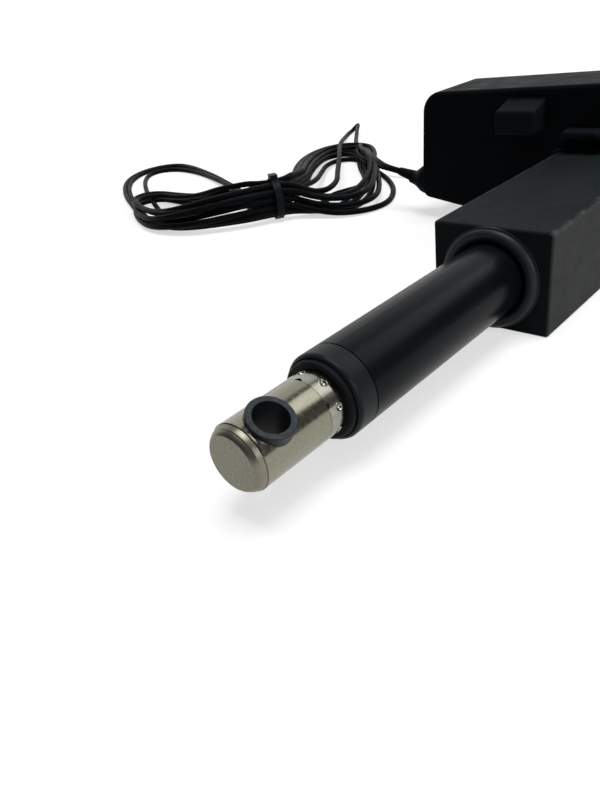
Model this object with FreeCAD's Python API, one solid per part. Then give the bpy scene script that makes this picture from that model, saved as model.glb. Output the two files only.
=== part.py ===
"""Electric linear actuator: a worm-geared motor turns a screw, and a nut on it pushes the rod out.

Millimetres. Origin at the centre of the rear mounting bore, +X along the rod towards its eye,
the motor on the -Y side, +Z up. The part lies on its flat underside.
"""
import FreeCAD, Part
import math
import os
from FreeCAD import Placement, Rotation, Vector

# ---------------------------------------------------------------- driving dimensions
BORE_SPAN = 312.0          # rear bore to rod-eye bore, rod fully in
PIN_RADIUS = 5.05          # both mounting bores take a 10 mm pin
SLIDING_GAP = 0.06         # radial clearance of running fits

ROD_RADIUS = 10.0
ROD_WALL = 2.0
EYE_TO_TIP = 10.8          # eye bore to the flat end of the rod
EYE_TO_SEAM = 16.5         # eye bore to the joint between cap and rod tube
EYE_TILT = 30.0            # the eye bore leans from vertical towards +Y
EYE_BUSH_RADIUS = 6.8
EYE_BUSH_LENGTH = 22.2
STAKES = 8                 # punched dimples that hold the cap in the rod tube

TUBE_RADIUS = 13.6
TUBE_WALL = 1.8
TUBE_FRONT = 279.3         # front end of the outer tube
RING_LENGTH = 8.1          # visible part of the guide ring
NUT_BACK = 96.0            # drive nut, rod fully in
NUT_LENGTH = 30.0

SLEEVE_FRONT = 191.6       # front face of the square sleeve
SLEEVE_HALF_WIDTH = 23.0
SLEEVE_HALF_HEIGHT = 19.3
SLEEVE_WALL = 2.6
COLLAR_RADIUS = 19.2
COLLAR_CREST = 2.5         # height of the collar's round lip
COLLAR_MOUTH = 14.3
COLLAR_SPIGOT = 16.4

HOUSING_BACK = 30.0
HOUSING_FRONT = 82.0
HOUSING_WALL = 2.7
HOUSING_END = -99.9        # outer face of the motor end
PARTING_Z = 20.5           # joint between the two housing shells
TOP_AT_ROD = 47.7          # height of the housing's top above the rod's axis
TOP_SLOPE = 0.022
REAR_ROUNDING = 12.0       # long rounded edge along the top at the back
END_ROUNDING = 14.0        # rounded upright corner at the back of the motor end
FLOOR = -SLEEVE_HALF_HEIGHT

WHEEL_X = 56.0             # middle plane of worm wheel, worm and motor
GEAR_MODULE = 1.25
WHEEL_TEETH = 24
WORM_PITCH_RADIUS = 5.0
WHEEL_PITCH_RADIUS = GEAR_MODULE * WHEEL_TEETH / 2
MOTOR_Z = WHEEL_PITCH_RADIUS + WORM_PITCH_RADIUS
GEAR_PITCH = math.pi * GEAR_MODULE
TOOTH_SHARE = 0.36         # tooth thickness over pitch; the rest is backlash and gap
PRESSURE_SLOPE = math.tan(math.radians(20))

SCREW_RADIUS = 6.5
JOURNAL_RADIUS = 6.0
BEARING_RADIUS = 14.0
BEARING_WIDTH = 8.0
REAR_BEARING_X = 36.0
FRONT_BEARING_X = 66.0
SCREW_FRONT = 262.0

MOTOR_RADIUS = 20.0
MOTOR_FRONT_Y = -34.0
MOTOR_BACK_Y = -82.0
SHAFT_RADIUS = 2.5

CORD_RADIUS = 1.75
BOOT_X = 72.0              # where the cord leaves the motor end
BOOT_Z = -0.7
BOOT_END = Vector(BOOT_X, -120.5, 2.6)
BOOT_NECK = 3.3
CORD_Z = FLOOR + CORD_RADIUS
PLUG_RADIUS = 5.2
WAIST_RADIUS = 11.5         # the folded cord where its tie draws it together

X = Vector(1, 0, 0)
Y = Vector(0, 1, 0)
Z = Vector(0, 0, 1)


# ---------------------------------------------------------------- helpers
def cylinder(radius, start, end):
    """A round bar between two points."""
    axis = end.sub(start)
    return Part.makeCylinder(radius, axis.Length, start, axis)


def tube(outer, inner, start, end):
    """A round tube between two points."""
    return cylinder(outer, start, end).cut(cylinder(inner, start, end))


def bar_x(radius, x0, x1, y=0.0, z=0.0):
    return cylinder(radius, Vector(x0, y, z), Vector(x1, y, z))


def bar_y(radius, y0, y1, x=WHEEL_X, z=MOTOR_Z):
    return cylinder(radius, Vector(x, y0, z), Vector(x, y1, z))


def ring_x(outer, inner, x0, x1):
    return bar_x(outer, x0, x1).cut(bar_x(inner, x0, x1))


def ring_y(outer, inner, y0, y1):
    return bar_y(outer, y0, y1).cut(bar_y(inner, y0, y1))


def box(x0, x1, y0, y1, z0, z1):
    return Part.makeBox(x1 - x0, y1 - y0, z1 - z0, Vector(x0, y0, z0))


def fused(shapes):
    """One clean solid from overlapping solids."""
    whole = shapes[0].multiFuse(shapes[1:])
    return whole.removeSplitter()


def turned(points, centre=Vector(0, 0, 0), axis=X):
    """A solid of revolution; points are (distance along the axis, radius)."""
    face = Part.Face(Part.makePolygon([Vector(a, 0, r) for a, r in points + points[:1]]))
    solid = face.revolve(Vector(0, 0, 0), X, 360)
    solid.Placement = Placement(centre, Rotation(X, axis))
    return solid


def rounded_outline(corners, lift):
    """A closed wire from (a, b, radius) corners, each rounded by an arc; lift(a, b) makes 3-D points."""
    count = len(corners)
    starts, ends, mids = [], [], []
    for i, (a, b, radius) in enumerate(corners):
        here = Vector(a, b, 0)
        before = Vector(*corners[i - 1][:2], 0).sub(here)
        after = Vector(*corners[(i + 1) % count][:2], 0).sub(here)
        before.normalize()
        after.normalize()
        half = before.getAngle(after) / 2
        reach = radius / math.tan(half)
        middle = before.add(after)
        middle.normalize()
        starts.append(here.add(before * reach))
        ends.append(here.add(after * reach))
        mids.append(here.add(middle * (radius / math.sin(half) - radius)))
    edges = []
    for i in range(count):
        if corners[i][2] > 0:
            arc = [lift(p.x, p.y) for p in (starts[i], mids[i], ends[i])]
            edges.append(Part.Arc(*arc).toShape())
        leave, arrive = ends[i], starts[(i + 1) % count]
        if leave.sub(arrive).Length > 1e-6:
            edges.append(Part.LineSegment(lift(leave.x, leave.y), lift(arrive.x, arrive.y)).toShape())
    return Part.Wire(edges)


def prism_x(corners, x0, x1):
    """A rounded outline in the YZ plane, extruded from x0 to x1."""
    wire = rounded_outline(corners, lambda a, b: Vector(x0, a, b))
    return Part.Face(wire).extrude(Vector(x1 - x0, 0, 0))


def prism_z(corners, z0, z1):
    """A rounded outline in the XY plane, extruded from z0 to z1."""
    wire = rounded_outline(corners, lambda a, b: Vector(a, b, z0))
    return Part.Face(wire).extrude(Vector(0, 0, z1 - z0))


def rectangle(y0, y1, z0, z1, radius):
    return [(y0, z0, radius), (y1, z0, radius), (y1, z1, radius), (y0, z1, radius)]


def edges_at_x(shape, x):
    """The edges that lie in the plane at x."""
    flat = []
    for edge in shape.Edges:
        bounds = edge.BoundBox
        if abs(bounds.XMin - x) < 1e-4 and abs(bounds.XMax - x) < 1e-4:
            flat.append(edge)
    return flat


def around_rod(angle, radius, x):
    """A point on a circle about the rod's axis; the angle goes from +Z towards +Y."""
    turn = math.radians(angle)
    return Vector(x, radius * math.sin(turn), radius * math.cos(turn))


def eased_path(points, closed=False):
    """Straight runs joined by tangent arcs as large as the runs allow: (edges, arc radii)."""
    count = len(points)
    corners = range(count) if closed else range(1, count - 1)
    edges, radii = [], []
    at = None if closed else points[0]
    for i in corners:
        here = points[i]
        back, ahead = points[i - 1].sub(here), points[(i + 1) % count].sub(here)
        reach = 0.45 * min(back.Length, ahead.Length)
        half_turn = (math.pi - back.getAngle(ahead)) / 2
        radius = reach / math.tan(half_turn)
        radii.append(radius)
        back.normalize()
        ahead.normalize()
        start, end = here.add(back * reach), here.add(ahead * reach)
        inward = back.add(ahead)
        inward.normalize()
        middle = here.add(inward * (radius / math.cos(half_turn) - radius))
        if at is None:
            first = start
        else:
            edges.append(Part.LineSegment(at, start).toShape())
        edges.append(Part.Arc(start, middle, end).toShape())
        at = end
    last = first if closed else points[-1]
    edges.append(Part.LineSegment(at, last).toShape())
    return edges, radii


def bearing(x0):
    """A sealed ball bearing, as one ring with its inner race stepped back."""
    x1 = x0 + BEARING_WIDTH
    whole = ring_x(BEARING_RADIUS, JOURNAL_RADIUS + SLIDING_GAP, x0, x1)
    for face_x, deeper in ((x0, x0 + 0.6), (x1, x1 - 0.6)):
        low, high = sorted((face_x, deeper))
        whole = whole.cut(ring_x(11.6, 8.4, low, high))
    return whole


# ---------------------------------------------------------------- rod
def eye_axis():
    turn = math.radians(EYE_TILT)
    return Vector(0, math.sin(turn), math.cos(turn))


def eye_bar(radius, half_length):
    centre = Vector(BORE_SPAN, 0, 0)
    along = eye_axis() * half_length
    return cylinder(radius, centre.sub(along), centre.add(along))


def rod_cap():
    seam = BORE_SPAN - EYE_TO_SEAM
    tip = BORE_SPAN + EYE_TO_TIP
    edge = tip - 2.8
    outline = [
        (seam - 13, 0), (seam - 13, 6.6), (seam - 12, 7.95), (seam, 7.95), (seam, ROD_RADIUS),
        (edge - 0.3, ROD_RADIUS), (edge, ROD_RADIUS - 0.25), (edge + 1.2, ROD_RADIUS - 0.7),
        (edge + 2.2, ROD_RADIUS - 1.35), (tip, ROD_RADIUS - 2.0), (tip, 0),
    ]
    return turned(outline).cut(eye_bar(EYE_BUSH_RADIUS, 20))


def rod_eye_bush():
    half = EYE_BUSH_LENGTH / 2
    outline = [
        (-half, PIN_RADIUS), (-half, EYE_BUSH_RADIUS - 0.25), (-half + 0.25, EYE_BUSH_RADIUS),
        (half - 0.25, EYE_BUSH_RADIUS), (half, EYE_BUSH_RADIUS - 0.25), (half, PIN_RADIUS),
    ]
    return turned(outline, Vector(BORE_SPAN, 0, 0), eye_axis())


def rod_tube():
    seam = BORE_SPAN - EYE_TO_SEAM
    inner = ROD_RADIUS - ROD_WALL
    whole = ring_x(ROD_RADIUS, inner, NUT_BACK + 4, seam)
    for i in range(STAKES):
        centre = around_rod(EYE_TILT + i * 360 / STAKES, ROD_RADIUS + 0.45, seam - 4)
        whole = whole.cut(Part.makeSphere(1.15, centre))
    for side in (-1, 1):
        for half_turn in (0, 180):
            middle = around_rod(EYE_TILT + side * 32 + half_turn, ROD_RADIUS, seam)
            notch = Part.makeCylinder(1.1, 3, middle, Vector(0, middle.y, middle.z))
            notch.translate(Vector(0, -middle.y, -middle.z) * 0.12)
            whole = whole.cut(notch)
    return whole


def drive_nut():
    """Plastic nut: a collar that slides in the outer tube and a spigot inside the rod tube."""
    bore = SCREW_RADIUS + SLIDING_GAP
    slide = TUBE_RADIUS - TUBE_WALL - SLIDING_GAP
    outline = [
        (NUT_BACK - 8, bore), (NUT_BACK - 8, slide - 1), (NUT_BACK - 7, slide),
        (NUT_BACK - 1, slide), (NUT_BACK + 4, ROD_RADIUS), (NUT_BACK + 4, ROD_RADIUS - ROD_WALL),
        (NUT_BACK + NUT_LENGTH - 8, ROD_RADIUS - ROD_WALL), (NUT_BACK + NUT_LENGTH - 8, bore),
    ]
    return turned(outline)


# ---------------------------------------------------------------- screw and worm wheel
def screw():
    """Lead screw: threaded rear end for the lock nut, journals, and the long thread."""
    front = FRONT_BEARING_X + BEARING_WIDTH
    outline = [
        (31.2, 0), (31.2, 4.4), (31.8, 5.0), (REAR_BEARING_X, 5.0), (REAR_BEARING_X, JOURNAL_RADIUS),
        (front, JOURNAL_RADIUS), (front, SCREW_RADIUS), (SCREW_FRONT - 1.5, SCREW_RADIUS),
        (SCREW_FRONT, SCREW_RADIUS - 1.5), (SCREW_FRONT, 0),
    ]
    return turned(outline).cut(screw_key())


def lock_nut():
    nut = prism_x([(9 * math.cos(a), 9 * math.sin(a), 0) for a in
                   [math.radians(60 * i) for i in range(6)]], 32.0, REAR_BEARING_X)
    return nut.cut(bar_x(5.0, 31.0, 37.0))


def screw_key():
    return box(50.0, 62.0, -1.5, 1.5, JOURNAL_RADIUS - 1.4, JOURNAL_RADIUS + 1.2)


def worm_wheel():
    """Wheel with slanted teeth that a single-start worm drives; a tooth gap faces straight up."""
    half_face = 6.0
    tip = WHEEL_PITCH_RADIUS + 0.88 * GEAR_MODULE
    root = WHEEL_PITCH_RADIUS - 1.15 * GEAR_MODULE
    lead_slope = GEAR_MODULE / (2 * WORM_PITCH_RADIUS)
    gap = (1 - TOOTH_SHARE) * GEAR_PITCH / 2
    top = tip + 0.5
    slant = Vector(2 * half_face + 2, -lead_slope * (2 * half_face + 2), 0)
    start_y = lead_slope * (half_face + 1)
    profile = []
    for side, level in ((-1, root), (1, root), (1, top), (-1, top)):
        width = gap + (level - WHEEL_PITCH_RADIUS) * PRESSURE_SLOPE
        profile.append(Vector(WHEEL_X - half_face - 1, start_y + side * width, level))
    cutter = Part.Face(Part.makePolygon(profile + profile[:1])).extrude(slant)
    cutters = []
    for i in range(WHEEL_TEETH):
        one = cutter.copy()
        one.rotate(Vector(WHEEL_X, 0, 0), X, i * 360 / WHEEL_TEETH)
        cutters.append(one)
    rim = bar_x(tip, WHEEL_X - half_face, WHEEL_X + half_face).cut(Part.makeCompound(cutters))
    wheel = rim.fuse(bar_x(8.5, 44.0, FRONT_BEARING_X)).removeSplitter()
    for face_x, depth in ((WHEEL_X - half_face, 2.0), (WHEEL_X + half_face, -2.0)):
        low, high = sorted((face_x, face_x + depth))
        wheel = wheel.cut(ring_x(11.5, 8.5, low, high))
    return wheel.cut(bar_x(JOURNAL_RADIUS, 40, 70)).cut(screw_key())


def magnet_ring():
    return ring_x(11.0, 8.5, WHEEL_X + 6.6, WHEEL_X + 9.4)


# ---------------------------------------------------------------- motor
def worm():
    """Single-start right-hand worm; a thread ridge points straight down at mid-length."""
    root = WORM_PITCH_RADIUS - 1.15 * GEAR_MODULE
    tip = WORM_PITCH_RADIUS + 0.88 * GEAR_MODULE
    turns = 5
    base = TOOTH_SHARE * GEAR_PITCH / 2 + (WORM_PITCH_RADIUS - root) * PRESSURE_SLOPE + 0.1
    crest = TOOTH_SHARE * GEAR_PITCH / 2 - (tip - WORM_PITCH_RADIUS) * PRESSURE_SLOPE
    helix = Part.makeHelix(GEAR_PITCH, turns * GEAR_PITCH, WORM_PITCH_RADIUS)
    ridge = [Vector(root - 0.25, 0, -base), Vector(tip, 0, -crest), Vector(tip, 0, crest),
             Vector(root - 0.25, 0, base)]
    profile = Part.makePolygon(ridge + ridge[:1])
    thread = Part.Wire(helix.Edges).makePipeShell([profile], True, True)
    blank = Part.makeCylinder(root, (turns + 2) * GEAR_PITCH, Vector(0, 0, -GEAR_PITCH))
    solid = blank.fuse(thread)
    solid = solid.cut(Part.makeCylinder(SHAFT_RADIUS, 60, Vector(0, 0, -20)))
    solid.translate(Vector(0, 0, -turns * GEAR_PITCH / 2))
    # the helix starts on its own X axis: laid along +Y, half its turns end up at the bottom
    solid.rotate(Vector(0, 0, 0), Z, 90 + 180 * turns)
    solid.rotate(Vector(0, 0, 0), X, -90)
    solid.translate(Vector(WHEEL_X, 0, MOTOR_Z))
    return solid


def motor_shaft():
    return bar_y(SHAFT_RADIUS, MOTOR_BACK_Y - 3.0, 23.0)


def armature_core():
    """Laminated core with slots for the windings."""
    core = ring_y(13.4, SHAFT_RADIUS, -70, -44)
    for i in range(8):
        slot = box(WHEEL_X - 0.9, WHEEL_X + 0.9, -71, -43, MOTOR_Z + 8.0, MOTOR_Z + 14)
        slot.rotate(Vector(WHEEL_X, 0, MOTOR_Z), Y, i * 45)
        core = core.cut(slot)
    return core


def armature_windings():
    coils = []
    for start, sign in ((-44, 1), (-70, -1)):
        profile = [(0, SHAFT_RADIUS + 1.5), (0, 12.2), (2.5, 11.8), (5, 9.5), (5, SHAFT_RADIUS + 1.5)]
        coils.append(turned(profile, Vector(WHEEL_X, start, MOTOR_Z), Y * sign))
    return Part.makeCompound(coils)


def commutator():
    return ring_y(5.5, SHAFT_RADIUS, MOTOR_BACK_Y, MOTOR_BACK_Y + 6.5)


def motor_can():
    """Drawn steel can, closed at the gear end around the shaft bearing."""
    can = ring_y(MOTOR_RADIUS, MOTOR_RADIUS - 1.6, MOTOR_BACK_Y, MOTOR_FRONT_Y - 2)
    front = ring_y(MOTOR_RADIUS, 6.5, MOTOR_FRONT_Y - 2, MOTOR_FRONT_Y)
    return can.fuse(front).removeSplitter()


def motor_front_bearing():
    return ring_y(6.5, SHAFT_RADIUS + SLIDING_GAP, MOTOR_FRONT_Y - 3, MOTOR_FRONT_Y + 1.5)


def motor_magnets():
    ring = ring_y(MOTOR_RADIUS - 1.6, 14.2, -73, -41)
    for dx in (-1, 1):
        gap = box(WHEEL_X + dx * 14 - 8, WHEEL_X + dx * 14 + 8, -80, -40, MOTOR_Z - 5, MOTOR_Z + 5)
        ring = ring.cut(gap)
    return Part.makeCompound(ring.Solids)


def motor_end_cap():
    """Moulded end plate that carries the brushes and the rear shaft bush."""
    plate = ring_y(MOTOR_RADIUS, SHAFT_RADIUS + SLIDING_GAP, MOTOR_BACK_Y - 3.2, MOTOR_BACK_Y)
    hub = ring_y(6.0, SHAFT_RADIUS + SLIDING_GAP, MOTOR_BACK_Y - 4.5, MOTOR_BACK_Y - 3.2)
    whole = plate.fuse(hub).removeSplitter()
    for dx in (-1, 1):
        low, high = sorted((WHEEL_X + dx * 6.0, WHEEL_X + dx * 15.0))
        holder = box(low, high, MOTOR_BACK_Y, MOTOR_BACK_Y + 6, MOTOR_Z - 3.4, MOTOR_Z + 3.4)
        whole = whole.fuse(holder)
    return whole.cut(brushes()).removeSplitter()


def brushes():
    blocks = []
    for dx in (-1, 1):
        low, high = sorted((WHEEL_X + dx * 5.75, WHEEL_X + dx * 12.0))
        blocks.append(box(low, high, MOTOR_BACK_Y + 1.2, MOTOR_BACK_Y + 5.2, MOTOR_Z - 2, MOTOR_Z + 2))
    return Part.makeCompound(blocks)


def worm_end_bush():
    return ring_y(6.0, SHAFT_RADIUS + SLIDING_GAP, 17.0, 22.0)


# ---------------------------------------------------------------- fixed tube and sleeve
def outer_tube():
    return ring_x(TUBE_RADIUS, TUBE_RADIUS - TUBE_WALL, HOUSING_FRONT - 4, TUBE_FRONT)


def guide_ring():
    """Plastic bush pressed into the tube's mouth; the rod slides in it."""
    front = TUBE_FRONT + RING_LENGTH
    bore = ROD_RADIUS + SLIDING_GAP
    outline = [
        (TUBE_FRONT - 17, bore), (TUBE_FRONT - 17, TUBE_RADIUS - TUBE_WALL),
        (TUBE_FRONT, TUBE_RADIUS - TUBE_WALL), (TUBE_FRONT, TUBE_RADIUS - 0.35),
        (TUBE_FRONT + 0.5, TUBE_RADIUS), (front - 1.2, TUBE_RADIUS), (front - 0.5, TUBE_RADIUS - 0.3),
        (front, TUBE_RADIUS - 0.9), (front, 12.7), (front - 3.5, 12.7), (front - 3.5, bore),
    ]
    return turned(outline)


def rod_wiper():
    """Scraper ring in the mouth of the guide ring, with a lip around the rod."""
    front = TUBE_FRONT + RING_LENGTH
    outline = [
        (front - 3.5, ROD_RADIUS + 0.3), (front - 3.5, 12.7), (front - 0.6, 12.7),
        (front - 0.6, 12.3), (front + 1.5, 12.1), (front + 2.1, 11.5), (front + 2.1, ROD_RADIUS + 0.05),
        (front + 1.2, ROD_RADIUS + 0.05),
    ]
    return turned(outline)


def front_collar():
    """Round collar on the sleeve's front face: a thin rim, and a full lip that closes in on the tube."""
    face = SLEEVE_FRONT
    crest = face + COLLAR_CREST
    outline = [
        (face - 14, TUBE_RADIUS), (face - 14, COLLAR_SPIGOT), (face, COLLAR_SPIGOT), (face, COLLAR_RADIUS),
        (face + 0.5, COLLAR_RADIUS), (face + 0.5, COLLAR_RADIUS - 0.6), (crest, COLLAR_RADIUS - 0.6),
        (crest, COLLAR_MOUTH), (face - 6, COLLAR_MOUTH), (face - 6, TUBE_RADIUS),
    ]
    whole = turned(outline)
    return whole.makeFillet(1.9, edges_at_x(whole, crest))


def square_sleeve():
    """Moulded square sleeve around the tube, hollow, with a closed front face."""
    w, h, t = SLEEVE_HALF_WIDTH, SLEEVE_HALF_HEIGHT, SLEEVE_WALL
    body = prism_x(rectangle(-w, w, -h, h, 1.2), HOUSING_FRONT, SLEEVE_FRONT)
    body = body.makeFillet(1.0, edges_at_x(body, SLEEVE_FRONT))
    spigot = prism_x(rectangle(-w + t + 0.1, w - t - 0.1, -h + t + 0.1, h - t - 0.1, 1.0),
                     HOUSING_FRONT - 4, HOUSING_FRONT + 1)
    body = body.fuse(spigot)
    back = HOUSING_FRONT - 5
    hollow = prism_x(rectangle(-w + 2 * t, w - 2 * t, -h + 2 * t, h - 2 * t, 1.0), back, HOUSING_FRONT + 2)
    cavity = prism_x(rectangle(-w + t, w - t, -h + t, h - t, 1.0), HOUSING_FRONT + 2, SLEEVE_FRONT - 5)
    body = body.cut(hollow).cut(cavity)
    seats = []
    for x in (110.0, 145.0):
        web = box(x, x + 3, -w + 1, w - 1, -h + 1, h - 1)
        seats.append(web.cut(bar_x(TUBE_RADIUS, x - 1, x + 4)))
    body = body.multiFuse(seats)
    return body.cut(bar_x(COLLAR_SPIGOT, SLEEVE_FRONT - 6, SLEEVE_FRONT + 1)).removeSplitter()


def bearing_plate():
    """Die-cast plate that holds the front bearing and the outer tube's rear end."""
    seat = FRONT_BEARING_X + BEARING_WIDTH
    plate = prism_x(rectangle(-20.2, 20.2, -16.5, 16.5, 3.0), FRONT_BEARING_X, HOUSING_FRONT - 4)
    nose = bar_x(TUBE_RADIUS - TUBE_WALL, HOUSING_FRONT - 5, HOUSING_FRONT + 3)
    whole = fused([plate, nose])
    whole = whole.cut(bar_x(BEARING_RADIUS, FRONT_BEARING_X - 1, seat))
    return whole.cut(bar_x(SCREW_RADIUS + 1.2, seat - 1, 100))


# ---------------------------------------------------------------- housing shells
def top_height(y):
    """The housing's top rises gently from the motor end to the gear end."""
    return TOP_AT_ROD + y * TOP_SLOPE


def housing_corners(inset):
    """Front outline of gear and motor housing, as (y, z, corner radius), moved inwards by inset."""
    corners = [
        (31.0 - inset, FLOOR + inset, 5.0), (31.0 - inset, top_height(31.0) - inset, 9.0),
        (-97.4 + inset, top_height(-97.4) - inset, 10.0),
        (HOUSING_END + inset, -7.6 + inset, 5.0), (-76.0, -11.4 + inset, 30.0),
        (-60.0 + inset * 0.4, -12.7 + inset, 5.0), (-53.0 + inset * 0.4, FLOOR + inset, 3.5),
    ]
    if inset:
        corners = [(y, z, max(radius - inset, 1.5)) for y, z, radius in corners]
    return corners


def housing_block(inset):
    """The whole housing as one solid; with an inset, the room inside it."""
    x0, x1 = HOUSING_BACK + inset, HOUSING_FRONT - inset
    block = prism_x(housing_corners(inset), x0, x1)
    front = 2.4 if not inset else 0.8
    rear = 4.8 if not inset else 2.4
    block = block.makeFillet(front, edges_at_x(block, x1))
    block = block.makeFillet(rear, edges_at_x(block, x0))
    radius = REAR_ROUNDING - inset
    corner = box(x0 - 1, x0 + radius, -130, 60, TOP_AT_ROD - inset - radius, TOP_AT_ROD + 8)
    corner = corner.cut(bar_y(radius, -131, 61, x0 + radius, TOP_AT_ROD - inset - radius))
    corner.rotate(Vector(0, 0, TOP_AT_ROD), X, math.degrees(math.atan(TOP_SLOPE)))
    radius = END_ROUNDING - inset
    x, y = x0 + radius, HOUSING_END + inset + radius
    end = box(x0 - 1, x, HOUSING_END - 1, y, -60, 80)
    end = end.cut(cylinder(radius, Vector(x, y, -61), Vector(x, y, 81)))
    return block.cut(corner).cut(end)


def half_space(upper):
    low, high = (PARTING_Z, 100) if upper else (-100, PARTING_Z)
    return box(-50, 150, -150, 60, low, high)


BOSSES = [(37.5, -27.0), (74.5, -27.0), (37.5, 24.3), (74.5, 24.3), (37.5, -93.3), (60.0, -93.3)]


def motor_cradle(upper):
    """Ribs across the shell that hold the motor can."""
    ribs = []
    for y in (-42.0, -60.0, -78.0):
        rib = box(HOUSING_BACK + 1, HOUSING_FRONT - 1, y - 1.2, y + 1.2, -30, 60)
        ribs.append(rib.common(housing_block(0.8)).cut(bar_y(MOTOR_RADIUS, -100, -30)))
    shape = ribs[0].multiFuse(ribs[1:])
    return shape.common(half_space(upper))


def screw_bosses(upper):
    posts = []
    for x, y in BOSSES:
        low, high = (PARTING_Z, 60.0) if upper else (-30.0, PARTING_Z)
        post = cylinder(3.6, Vector(x, y, low), Vector(x, y, high))
        posts.append(post.common(housing_block(0.8)))
    return posts


def worm_seat(upper):
    """Rib that carries the worm shaft's far bush."""
    rib = box(WHEEL_X - 9, WHEEL_X + 9, 17.2, 29.5, MOTOR_Z - 11, MOTOR_Z + 11)
    return rib.cut(bar_y(6.0, 15, 23.4)).common(half_space(upper))


def lower_shell():
    shell = housing_block(0.0).cut(housing_block(HOUSING_WALL)).common(half_space(False))
    collar = prism_x(rectangle(-25.4, 25.4, FLOOR, PARTING_Z, 2.0), HOUSING_FRONT - 1, HOUSING_FRONT + 4)
    shell = shell.multiFuse([collar, motor_cradle(False), worm_seat(False)] + screw_bosses(False))
    w, h, t = SLEEVE_HALF_WIDTH, SLEEVE_HALF_HEIGHT, SLEEVE_WALL
    shell = shell.cut(box(HOUSING_FRONT, 100, -w, w, -h - 1, h))
    mouth = prism_x(rectangle(-w + t, w - t, -h + t, h - t, 1.0), HOUSING_FRONT - 4, HOUSING_FRONT + 1)
    shell = shell.cut(mouth)
    shell = shell.cut(box(FRONT_BEARING_X, HOUSING_FRONT - 4, -20.4, 20.4, -16.6, 16.6))
    shell = shell.cut(bar_y(BOOT_NECK, -105, -90, BOOT_X, BOOT_Z))
    shell = shell.cut(prism_z([(20, -12.4, 0), (34, -12.4, 0), (34, 12.4, 0), (20, 12.4, 0)], -10, 10))
    for x, y in BOSSES:
        shell = shell.cut(cylinder(1.7, Vector(x, y, -30), Vector(x, y, 30)))
        head_z = screw_head_z(y)
        shell = shell.cut(cylinder(3.1, Vector(x, y, -30), Vector(x, y, head_z)))
    return shell.removeSplitter()


def raised_block(inset):
    """Block on the housing's front with a top that slopes up to the housing; or the room inside it."""
    front = HOUSING_FRONT + 12.4
    back = HOUSING_FRONT - (3.0 if inset else 1.0)
    side = [
        (front - inset, 28.2 + inset), (front - inset, 38.7 - inset),
        (HOUSING_FRONT, 42.5 - inset), (back, 42.8 - inset), (back, 28.2 + inset),
    ]
    wire = Part.makePolygon([Vector(x, -50.2 + inset, z) for x, z in side + side[:1]])
    block = Part.Face(wire).extrude(Vector(0, 19.4 - 2 * inset, 0))
    if inset:
        return block
    outer = [e for e in block.Edges if e.CenterOfMass.x > HOUSING_FRONT + 0.5]
    return block.makeFillet(1.5, outer)


def brow(side):
    """Short rounded lip over the sleeve, one each side of the rod."""
    lip = prism_x(rectangle(-20.6, -3.0, 24.9, 29.6, 2.2), HOUSING_FRONT - 1, HOUSING_FRONT + 7.5)
    lip = lip.makeFillet(1.9, edges_at_x(lip, HOUSING_FRONT + 7.5))
    return lip if side < 0 else lip.mirror(Vector(0, 0, 0), Y)


def upper_shell():
    shell = housing_block(0.0).cut(housing_block(HOUSING_WALL)).common(half_space(True))
    lugs = [raised_block(0.0)] + [brow(side) for side in (-1, 1)]
    shell = shell.multiFuse(lugs + [motor_cradle(True), worm_seat(True)] + screw_bosses(True))
    shell = shell.cut(raised_block(2.2))
    for x, y in BOSSES:
        shell = shell.cut(cylinder(1.3, Vector(x, y, PARTING_Z - 1), Vector(x, y, PARTING_Z + 9)))
    return shell.removeSplitter()


def screw_head_z(y):
    """Depth of the screw heads in the underside: the motor end stands higher than the gear end."""
    return FLOOR + 5 if y > -50 else 0.0


def shell_screws():
    screws = []
    for x, y in BOSSES:
        seat = screw_head_z(y)
        head = cylinder(2.9, Vector(x, y, seat - 2.2), Vector(x, y, seat))
        shank = cylinder(1.3, Vector(x, y, seat - 1.2), Vector(x, y, PARTING_Z + 8))
        screws.append(head.fuse(shank).removeSplitter())
    return Part.makeCompound(screws)


# ---------------------------------------------------------------- rear mounting lug
def rear_lug():
    """Die-cast lug: a round eye outside, a flange inside that seats the rear bearing."""
    eye = cylinder(12.8, Vector(0, 0, -10), Vector(0, 0, 10))
    neck = box(0, HOUSING_BACK + 3, -12.4, 12.4, -10, 10)
    web = prism_z([(0, -12.4, 0), (HOUSING_BACK, -17, 3), (HOUSING_BACK, 17, 3), (0, 12.4, 0)], -10, 10)
    flange = bar_x(15.4, HOUSING_BACK + HOUSING_WALL, REAR_BEARING_X + BEARING_WIDTH)
    whole = fused([eye, neck, web, flange])
    whole = whole.cut(cylinder(EYE_BUSH_RADIUS, Vector(0, 0, -20), Vector(0, 0, 20)))
    whole = whole.cut(bar_x(BEARING_RADIUS, REAR_BEARING_X, 60))
    return whole.cut(bar_x(10.2, 30.6, REAR_BEARING_X + 1))


def rear_bush():
    half = EYE_BUSH_LENGTH / 2
    return tube(EYE_BUSH_RADIUS, PIN_RADIUS, Vector(0, 0, -half), Vector(0, 0, half))


# ---------------------------------------------------------------- electrics and cord
def position_board():
    """Small circuit board beside the magnet ring, with its sensor."""
    board = box(FRONT_BEARING_X - 1.6, FRONT_BEARING_X, 12.6, 27.0, -12.0, 8.0)
    sensor = box(FRONT_BEARING_X - 3.5, FRONT_BEARING_X - 1.6, 12.2, 16.2, -2.0, 2.0)
    return board.fuse(sensor).removeSplitter()


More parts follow.
